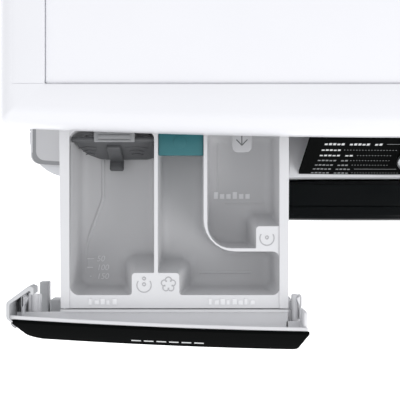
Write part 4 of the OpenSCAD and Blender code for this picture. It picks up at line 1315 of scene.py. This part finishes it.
    def build_front_shell(self) -> None:
        """Builds the shell behind the plate with its wing, ribs, pins, clips and shelves."""
        rim, base = DATUM.rim, DATUM.console + 4
        top = DATUM.lid - 4.6
        x0, x1 = -299.3, -80.4
        bm = new_solid()
        add_block(bm, (x0, 2.55, 1.2), (x1, 5.6, self.plate_top - 0.4), 0.0)
        onto_face(bm, lean=DRAWER_LEAN)
        trim_below(bm, DATUM.console + SHUT_CLEARANCE)
        round_edges(bm, sharp_edges(bm, 60), 0.7, 3)
        low = rim + 2.5
        back = (top - low) * math.tan(LEAN)
        outer = x0 - 1.9
        head = [
            (x0 + 4.3, 35.0), (outer, 37.5), (outer, 50.2), (x0 + 14.7, 62.4), (x0 + 18.3, 61.0),
            (x0 + 18.3, 56.0),
        ]
        head += [(x0 + 16.1, 56.0), (x0 + 15.7, 59.3), (x0 + 0.5, 48.9), (x0 + 0.5, 39.0)]
        foot = [(x, d - back) if k in (0, 1, 9) else (x, d) for k, (x, d) in enumerate(head)]
        wing = frustum(head, foot, low, top, [0.5, 4.0, 3.0, 1.6, 1.2, 0.5, 0.3, 1.0, 2.5, 0.5])
        round_edges(wing, level_edges(wing, top), 0.5, 2)
        # The wing is in painted shade, lighter on its outer faces and darker on its inner ones.
        self.dress_with_painted_shade("drawer_front_wing", wing)
        inner = self.left_posts()
        skirt = [
            (x0 + 2.5, 28.0), (outer, 31.0), (outer, 50.2), (x0 + 8.0, 57.0), (x0 + 8.0, 54.2),
            (x0 + 0.5, 48.9),
        ]
        merge_into(
            inner,
            prism(skirt + [(x0 + 0.5, 33.0)], rim - 15.0, low + 0.4, [0.5, 3.0, 3.0, 0.5, 0.5, 2.0, 0.5]),
        )
        apron = [(x0 - 1.0, 33.0), (x0 - 1.0, 49.0), (x0 + 8.0, 55.4), (-287.0, 55.4), (-287.0, 33.0)]
        merge_into(inner, prism(apron, rim - 15.0, rim - 13.0, [0.5, 2.5, 2.0, 1.0, 0.5]))
        # Posts, skirt and apron are wholly in the painted-shade grey.
        self.dress("drawer_front_posts", inner, ABS_SHADE, "white_plastic", shade=Shade.SOFT)
        self.rib(bm, x1 - 2.9, 2.6, 43.0, rim - 6, top - 1, 1.1)
        self.shelf(bm, x0 + 1, x1 - 2, self.tray_front - 3.4, base, 2.2)
        self.shelf(bm, self.left + 1.0, -93.0, self.tray_front - 1.2, rim - 3.6, 1.6)
        self.shelf(bm, -94.0, x1 - 1.0, 33.5, rim - 3.6, 1.6)
        # the bar that the tray's front rim meets, with the shadow line between them
        add_block(bm, (self.left + 2.6, 40.2, base + 1), (self.right - 0.6, 42.5, rim - 0.3), 0.5)
        self.shelf(bm, x0 + 1, self.left + 1.0, 40.2, rim - 5.4, 1.8)
        self.shelf(bm, x0 + 3, self.left + 1.0, 36.0, rim - 3.6, 1.6)
        merge_into(bm, self.left_fittings())
        merge_into(bm, self.right_fittings())
        self.dress(
            "drawer_front_shell", bm, ABS_CARRIER, "white_plastic", ("drawer_front",), shade=Shade.SOFT
        )

    def dress_with_painted_shade(self, name: str, bm: bmesh.types.BMesh) -> None:
        """Dresses a white piece of the shell in a lighter painted shade, with a darker painted shade on its
        inner faces.
        """
        piece = self.dress(name, bm, ABS_HALF_SHADE, "white_plastic", shade=Shade.SOFT)
        piece.data.materials.append(ABS_SHADE.material())
        # Faces turned to the right and not upwards, into the wing's hollow, take the darker grey: painted
        # shade.
        for face in piece.data.polygons:
            face.material_index = int(face.normal.x > 0.2 and face.normal.z < 0.5)

    def left_posts(self) -> bmesh.types.BMesh:
        """Returns the hook post and the stop beside it."""
        base = DATUM.console + 4
        bm = new_solid()
        add_block(bm, (-288.2, 24.0, base + 2), (-281.0, 59.4, base + 12), 0.9)
        add_block(bm, (-278.4, 26.0, base + 2), (-268.8, 46.0, base + 20), 0.9)
        return bm

    def left_fittings(self) -> bmesh.types.BMesh:
        """Returns the clip arm and guide channel at the shell's left end."""
        rim = DATUM.rim
        bm = new_solid()
        add_block(bm, (-294.4, 34.0, rim - 12), (-292.4, 53.0, rim - 1), 0.6)
        hook = prism(
            [(-294.4, 53.4), (-294.4, 44.0), (-292.0, 45.5), (-289.8, 50.5)],
            rim - 12,
            rim - 1,
            [0.4, 0.4, 0.6, 0.8],
        )
        merge_into(bm, hook)
        add_block(bm, (-290.6, 36.0, rim - 14), (-281.4, 53.0, rim - 9.5), 0.7)
        for x, r in ((-289.4, 1.2), (-285.6, 2.7), (-282.4, 1.0)):
            add_rod(bm, (x, 34.0, rim - 9), (x, 53.6, rim - 9), r, edge=0.4)
        return bm

    def right_fittings(self) -> bmesh.types.BMesh:
        """Returns the guide pin, clip arm and scoop at the shell's right end."""
        rim, base = DATUM.rim, DATUM.console + 4
        bm = new_solid()
        add_rod(bm, (-87.2, 26.0, rim - 8), (-87.2, 53.2, rim - 8), 2.6, edge=0.6)
        add_block(bm, (-92.4, 30.0, base + 2), (-87.0, 47.0, rim - 14), 0.7)
        add_block(bm, (-84.0, 34.0, rim - 12), (-82.6, 53.0, rim - 1), 0.5)
        hook = prism(
            [(-82.6, 53.4), (-86.2, 50.6), (-84.6, 46.0), (-82.6, 44.6)],
            rim - 12,
            rim - 1,
            [0.4, 0.6, 0.6, 0.4],
        )
        merge_into(bm, hook)
        scoop = prism(
            [(-92.8, 41.0), (-92.8, 30.0), (-82.2, 28.4), (-82.2, 41.0)],
            base + 2,
            rim - 9,
            [0.6, 5.5, 0.6, 0.6],
        )
        merge_into(bm, scoop)
        return bm

    def build_plate(self) -> None:
        """Builds the black plate with rounded ends and a neutral printed mark."""
        s0, s1 = 0.6, self.plate_top
        corners = [
            (self.plate_left + 1.4, s1), (self.plate_left + 1.4, s0), (self.plate_right, s0),
            (self.plate_right, s1),
        ]
        bm = prism(corners, 0.0, 2.5, [3.0, 25.0, 10.0, 0.8])
        round_edges(bm, level_edges(bm, 2.5) + level_edges(bm, 0.0), 0.5, 3)
        tip(bm, math.radians(90), (0, 2.5, 0))
        onto_face(bm, lean=DRAWER_LEAN)
        trim_below(bm, DATUM.console + SHUT_CLEARANCE)
        self.dress(
            "drawer_plate_gloss", bm, BLACK_GLOSS, "black_gloss", ("drawer_plate",), shade=Shade.SOFT
        )
        mark = new_solid()
        for k in range(6):
            x = -214.0 + k * 10.0
            add_block(mark, (x, -0.08, 22.0), (x + 7.6, 0.4, 27.0), 0.0)
        onto_face(mark, 8.0, DRAWER_LEAN)
        self.dress("drawer_plate_print", mark, INK_WHITE, "black_gloss")

    def build(self) -> None:
        """Builds the drawer and what it carries."""
        self.build_tray()
        self.build_marks()
        self.build_flap()
        self.build_cap()
        self.build_tab()
        self.build_front_shell()
        self.build_plate()


# ------------------------------------------------------------------ console


class Leader(Enum):
    """The line that leads from a program's label to the knob."""

    SOLID = "solid"
    DOTTED = "dotted"


@dataclass
class Console:
    """The leaning console: printed labels, ledge, recess band, knob and key marks."""

    face: float = 78.75
    knob_x: float = 22.0
    knob_r: float = 26.0

    def label(self, bm: bmesh.types.BMesh, x0: float, x1: float, s: float, tall: float) -> None:
        """Adds a row of small neutral blocks in place of a program's name.

        Args:
            bm: The mesh it is added to, drawn flat.
            x0: Left end.
            x1: Right end.
            s: Height up the slope of the row's middle.
            tall: Height of a block.
        """
        count = max(2, round((x1 - x0) / 3.1))
        pitch = (x1 - x0) / count
        for k in range(count):
            if k % 6 == 5:
                continue
            rise = tall * (0.62 if (k * 5) % 3 else 0.5)
            x = x0 + k * pitch
            add_block(bm, (x, -0.06, s - tall * 0.4), (x + pitch * 0.7, 0.3, s - tall * 0.4 + rise), 0.0)

    def leader(self, bm: bmesh.types.BMesh, x0: float, x1: float, s: float, kind: Leader) -> None:
        """Adds a solid or dotted leader line between two places on one row."""
        if kind is Leader.SOLID:
            add_block(bm, (x0, -0.05, s - 0.35), (x1, 0.3, s + 0.35), 0.0)
            return
        count = int((x1 - x0) / 2.3)
        for k in range(count):
            x = x0 + k * 2.3
            add_block(bm, (x, -0.05, s - 0.5), (x + 0.9, 0.3, s + 0.5), 0.0)

    def build_print(self) -> None:
        """Prints the program rows on both sides of the knob, and the display's segments."""
        white, grey = new_solid(), new_solid()
        rows = [
            (-66.2, -22.3, 63.7, 5.6, -20.0, -3.0, Leader.SOLID),
            (-66.8, -51.6, 52.6, 4.2, -50.0, -7.6, Leader.DOTTED),
            (-66.8, -40.5, 42.3, 4.2, -38.2, -8.6, Leader.DOTTED),
            (-66.9, -42.6, 32.4, 4.0, -41.6, -8.6, Leader.DOTTED),
            (-67.9, -40.9, 23.2, 4.0, -38.8, -7.0, Leader.DOTTED),
            (-68.4, -37.8, 14.9, 4.0, -35.4, -1.6, Leader.SOLID),
            (-68.9, -37.9, 6.6, 4.0, -36.0, 4.0, Leader.DOTTED),
        ]
        for k, (x0, x1, s, tall, l0, l1, kind) in enumerate(rows):
            self.label(white if k < 3 else grey, x0, x1, s, tall)
            self.leader(grey, l0, l1, s, kind)
            mirrored = 2 * self.knob_x - l1
            self.leader(grey, mirrored, mirrored + 8, s, kind)
            self.label(grey, mirrored + 10, min(mirrored + 26, 84.0), s, tall * 0.8)
        for x in (232.0, 264.0):
            self.label(grey, x - 8, x + 8, self.face / 2 - 20, 3.4)
        for k in range(3):
            self.label(white, 96.0 + 32 * k, 112.0 + 32 * k, 68.0, 3.4)
        for bm, name, ink in ((white, "program_names", INK_WHITE), (grey, "program_leaders", INK_GREY)):
            onto_face(bm, 30.0)
            dress_piece(name, bm, "cabinet", ink)

    def build_knob(self) -> None:
        """Turns the knob's ring and cap, and adds a pointer."""
        r = self.knob_r
        profile = [
            (0.0, -19.4), (r - 3.4, -19.4), (r - 1.6, -18.8), (r - 0.5, -17.4), (r - 0.2, -15.0), (r, -4.6)
        ]
        profile += [(r + 1.8, -3.4), (r + 2, -2.8), (r + 2, -0.7), (0.0, -0.7)]
        part = lathe(profile, 96, (self.knob_x, 0.0, self.face / 2))
        add_rod(part, (self.knob_x, -1, self.face / 2), (self.knob_x, 8.0, self.face / 2), 3.5)
        onto_slope(part, self.knob_x)
        dress_piece(
            "program_selector", part, "knob", SILVER_KNOB, ("program_knob",),
            shade=Shade.SOFT,
        )
        pointer = new_solid()
        s = self.face / 2
        add_block(pointer, (self.knob_x - 0.9, -19.9, s + 12), (self.knob_x + 0.9, -19.2, s + r - 4.2), 0.2)
        onto_slope(pointer, self.knob_x)
        dress_piece("selector_pointer", pointer, "knob", PA_DARK)

    def build_keys(self) -> None:
        """Puts a power mark and a start mark on the two keys."""
        for body, x in (("power", 264.0), ("start", 232.0)):
            bm = new_solid()
            s = self.face / 2
            if body == "power":
                turns = [math.radians(120 + 300 * k / 16) for k in range(17)]
                spots = [(x + 3.4 * math.cos(t), -2.05, s + 3.4 * math.sin(t)) for t in turns]
                for a, b in zip(spots, spots[1:]):
                    add_rod(bm, a, b, 0.35, segments=8)
                add_rod(bm, (x, -2.05, s + 0.6), (x, -2.05, s + 4.6), 0.35, segments=8)
            else:
                mark = prism([(x - 3.4, -3.4), (x + 0.6, 0.0), (x - 3.4, 3.4)], 0, 0.5)
                tip(mark, math.radians(90), (0, -1.9, s))
                merge_into(bm, mark)
                add_block(bm, (x + 2.0, -2.3, s - 3.2), (x + 3.4, -1.8, s + 3.2), 0.0)
            onto_slope(bm, x)
            dress_piece(f"{body}_key_mark", bm, body, PA_DARK)

    def build_recess(self) -> None:
        """Lines the recess beside the drawer with a band and a floor whose greys are painted shade."""
        z = DATUM.console + 2.7
        outer = [(-297.0, 69.6), (-297.0, 10.9), (-268.6, 9.1), (-268.6, 69.6)]
        inner = [(-293.8, 69.6), (-293.8, 14.0), (-268.6, 12.2), (-268.6, 69.6)]
        radii = [0.0, 7.5, 0.0, 0.0]
        hollow = [(-293.8, 75.0), (-293.8, 14.0), (-262.0, 11.8), (-262.0, 75.0)]
        collar = carve(prism(outer, z - 0.3, z + 0.35, radii), [prism(hollow, z - 2.0, z + 4.0, radii)])
        # The collar's mid grey is painted shade on the carrier's white plastic.
        dress_piece("recess_collar", collar, "cabinet", PP_SHADE_GREY)
        floor = prism(inner, z - 0.3, z + 0.25, radii)
        # The floor's grey is painted shade, darker than the carrier's white.
        dress_piece("recess_floor", floor, "cabinet", PP_WELL_SHADE)

    def build(self) -> None:
        """Builds what the console adds to its CAD nodes."""
        self.build_print()
        self.build_knob()
        self.build_keys()
        self.build_recess()


# ------------------------------------------------------------------ door


@dataclass
class Door:
    """The round door: black ring, glass bowl and the grey bellows seal behind it."""

    radius: float = 235.0
    out: float = 37.0
    port: float = 178.0

    def build_ring(self) -> None:
        """Turns the black ring and opens it for the handle and the hinge."""
        r, f = self.radius, -self.out
        profile = [
            (r - 4, -2), (r, -5), (r, -23.9), (r - 1.0, -24.3), (r - 1.0, -24.7), (r, -25.1), (r, f + 4.5),
            (r - 1.3, f + 1.4), (r - 4.5, f), (r - 24, f - 1.2), (190, f + 1), (166, f + 5), (166, f + 8.4),
            (171, f + 9.4), (171, -22), (174, -22), (174, f + 8.4), (192, f + 4.4), (r - 22, f + 2.6),
            (r - 6, f + 4), (r - 3, f + 8), (r - 3, -5.6), (r - 6, -2),
        ]
        bm = lathe(rounded_profile(profile, 2.2), 200)
        grip = block((194, -60, DATUM.axis - 50), (245, -8, DATUM.axis + 50))
        hinge = block((-241, f + 6, DATUM.axis - 53), (-223, 1, DATUM.axis + 53))
        bm = carve(bm, [grip, hinge])
        dress_piece("door_bezel", bm, "door", BLACK_DOOR, ("door_ring",), shade=Shade.SOFT)

    def build_bowl(self) -> None:
        """Turns the glass bowl."""
        profile = [(168.5, -27.5), (168.5, -22.5), (160, -20.5), (150, 10), (138, 52), (120, 76), (90, 90)]
        profile += [
            (40, 95.2), (0, 96), (0, 90.5), (40, 89.8), (88, 84.6), (116, 71.5), (133, 49), (145, 8),
            (155.5, -25),
        ]
        bm = lathe(profile, 160)
        dress_piece("porthole_glass", bm, "door", GLASS, ("door_glass",), shade=Shade.SOFT)

    def build_seal(self) -> None:
        """Turns the bellows seal with rounded folds."""
        p = self.port
        profile = [
            (p - 6, -1.8), (p + 3, -1.8), (p + 3, -0.3), (p - 0.4, -0.3), (p - 0.4, 1.5), (p + 5, 1.5),
            (p + 5, 5),
            (p - 3, 7), (p - 3, 26), (p + 6, 34), (p + 6, 44), (p - 2, 52), (p + 8.6, 59), (p + 8.6, 63),
            (p - 7, 63),
            (p - 8, 51), (p + 1, 43), (p + 1, 36), (p - 9, 28), (p - 9, 18), (p - 20, 13), (p - 22, 9),
            (p - 10, 6), (p - 8, 0),
        ]
        bm = lathe(rounded_profile(profile, 2.0, 3), 160)
        dress_piece(
            "bellows_seal", bm, "cabinet", RUBBER_GREY, ("door_gasket",), shade=Shade.SOFT
        )

    def build(self) -> None:
        """Builds the door's visible pieces."""
        self.build_ring()
        self.build_bowl()
        self.build_seal()


# ------------------------------------------------------------------ stage


@dataclass
class Studio:
    """Pale floor, soft lights and the camera."""

    eye: Place = (-159.4, -18.9, 1380.0)
    lens: float = 69.3
    floor_size: float = 9.0
    floor_glow: float = 0.52
    sky: float = 0.84
    key_watts: float = 30.0
    fill_watts: float = 10.0

    def build_floor(self) -> None:
        """Lays a plain pale floor with a faint mottle."""
        bm = new_solid()
        bmesh.ops.create_grid(bm, x_segments=2, y_segments=2, size=self.floor_size / 2)
        mesh = bpy.data.meshes.new("studio_floor")
        bm.to_mesh(mesh)
        bm.free()
        floor = bpy.data.objects.new("studio_floor", mesh)
        bpy.context.scene.collection.objects.link(floor)
        paint = Finish(
            "matt_floor_paint", "FFFFFF", "FDFDFD", 0.9, grain_mm=4, grain_deep=0.01, mottle_mm=800
        )
        material = paint.material()
        shader = material.node_tree.nodes["Principled BSDF"]
        shader.inputs["Emission Color"].default_value = (1, 1, 1, 1)
        shader.inputs["Emission Strength"].default_value = self.floor_glow
        mesh.materials.append(material)

    def add_light(self, name: str, place: Place, target: Place, size: float, watts: float) -> None:
        """Adds a square area light.

        Args:
            name: Its name.
            place: Where it is, in metres.
            target: What it shines at, in metres.
            size: Its side, in metres.
            watts: Its power.
        """
        data = bpy.data.lights.new(name, "AREA")
        data.size = size
        data.energy = watts
        lamp = bpy.data.objects.new(name, data)
        lamp.location = place
        lamp.rotation_euler = (Vector(target) - Vector(place)).to_track_quat("-Z", "Y").to_euler()
        bpy.context.scene.collection.objects.link(lamp)

    def build(self) -> None:
        """Sets the world, the lights, the floor and the camera."""
        self.build_floor()
        world = bpy.data.worlds.new("studio")
        world.use_nodes = True
        world.node_tree.nodes["Background"].inputs["Color"].default_value = (0.97, 0.98, 1.0, 1)
        world.node_tree.nodes["Background"].inputs["Strength"].default_value = self.sky
        bpy.context.scene.world = world
        bpy.context.scene.view_settings.view_transform = "Standard"
        middle = (-0.1, -0.2, 0.7)
        self.add_light("key", (1.7, -1.7, 2.6), middle, 1.4, self.key_watts)
        self.add_light("fill", (-1.9, -1.4, 2.4), middle, 2.2, self.fill_watts)
        data = bpy.data.cameras.new("camera")
        data.lens = self.lens
        data.clip_end = 50
        camera = bpy.data.objects.new("camera", data)
        x, d, z = self.eye
        camera.location = (x * MM, (DATUM.front + d) * MM, z * MM)
        bpy.context.scene.collection.objects.link(camera)
        bpy.context.scene.camera = camera


def dress_frame() -> None:
    """Gives each CAD node that stays in view its finish."""
    for finish, names in FINISH_NODES.items():
        for name in names:
            for slot in frame["nodes"][name].material_slots:
                slot.material = finish.material()
            log.info("node %s: %s", name, finish.title)


def main() -> None:
    """Builds the machine's looks in order."""
    logging.basicConfig(level=logging.INFO, format="%(name)s %(message)s")
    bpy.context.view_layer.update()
    dress_frame()
    for part in (Lid(), Drawer(), Console(), Door(), Studio()):
        part.build()


if __name__ == "__main__":
    main()
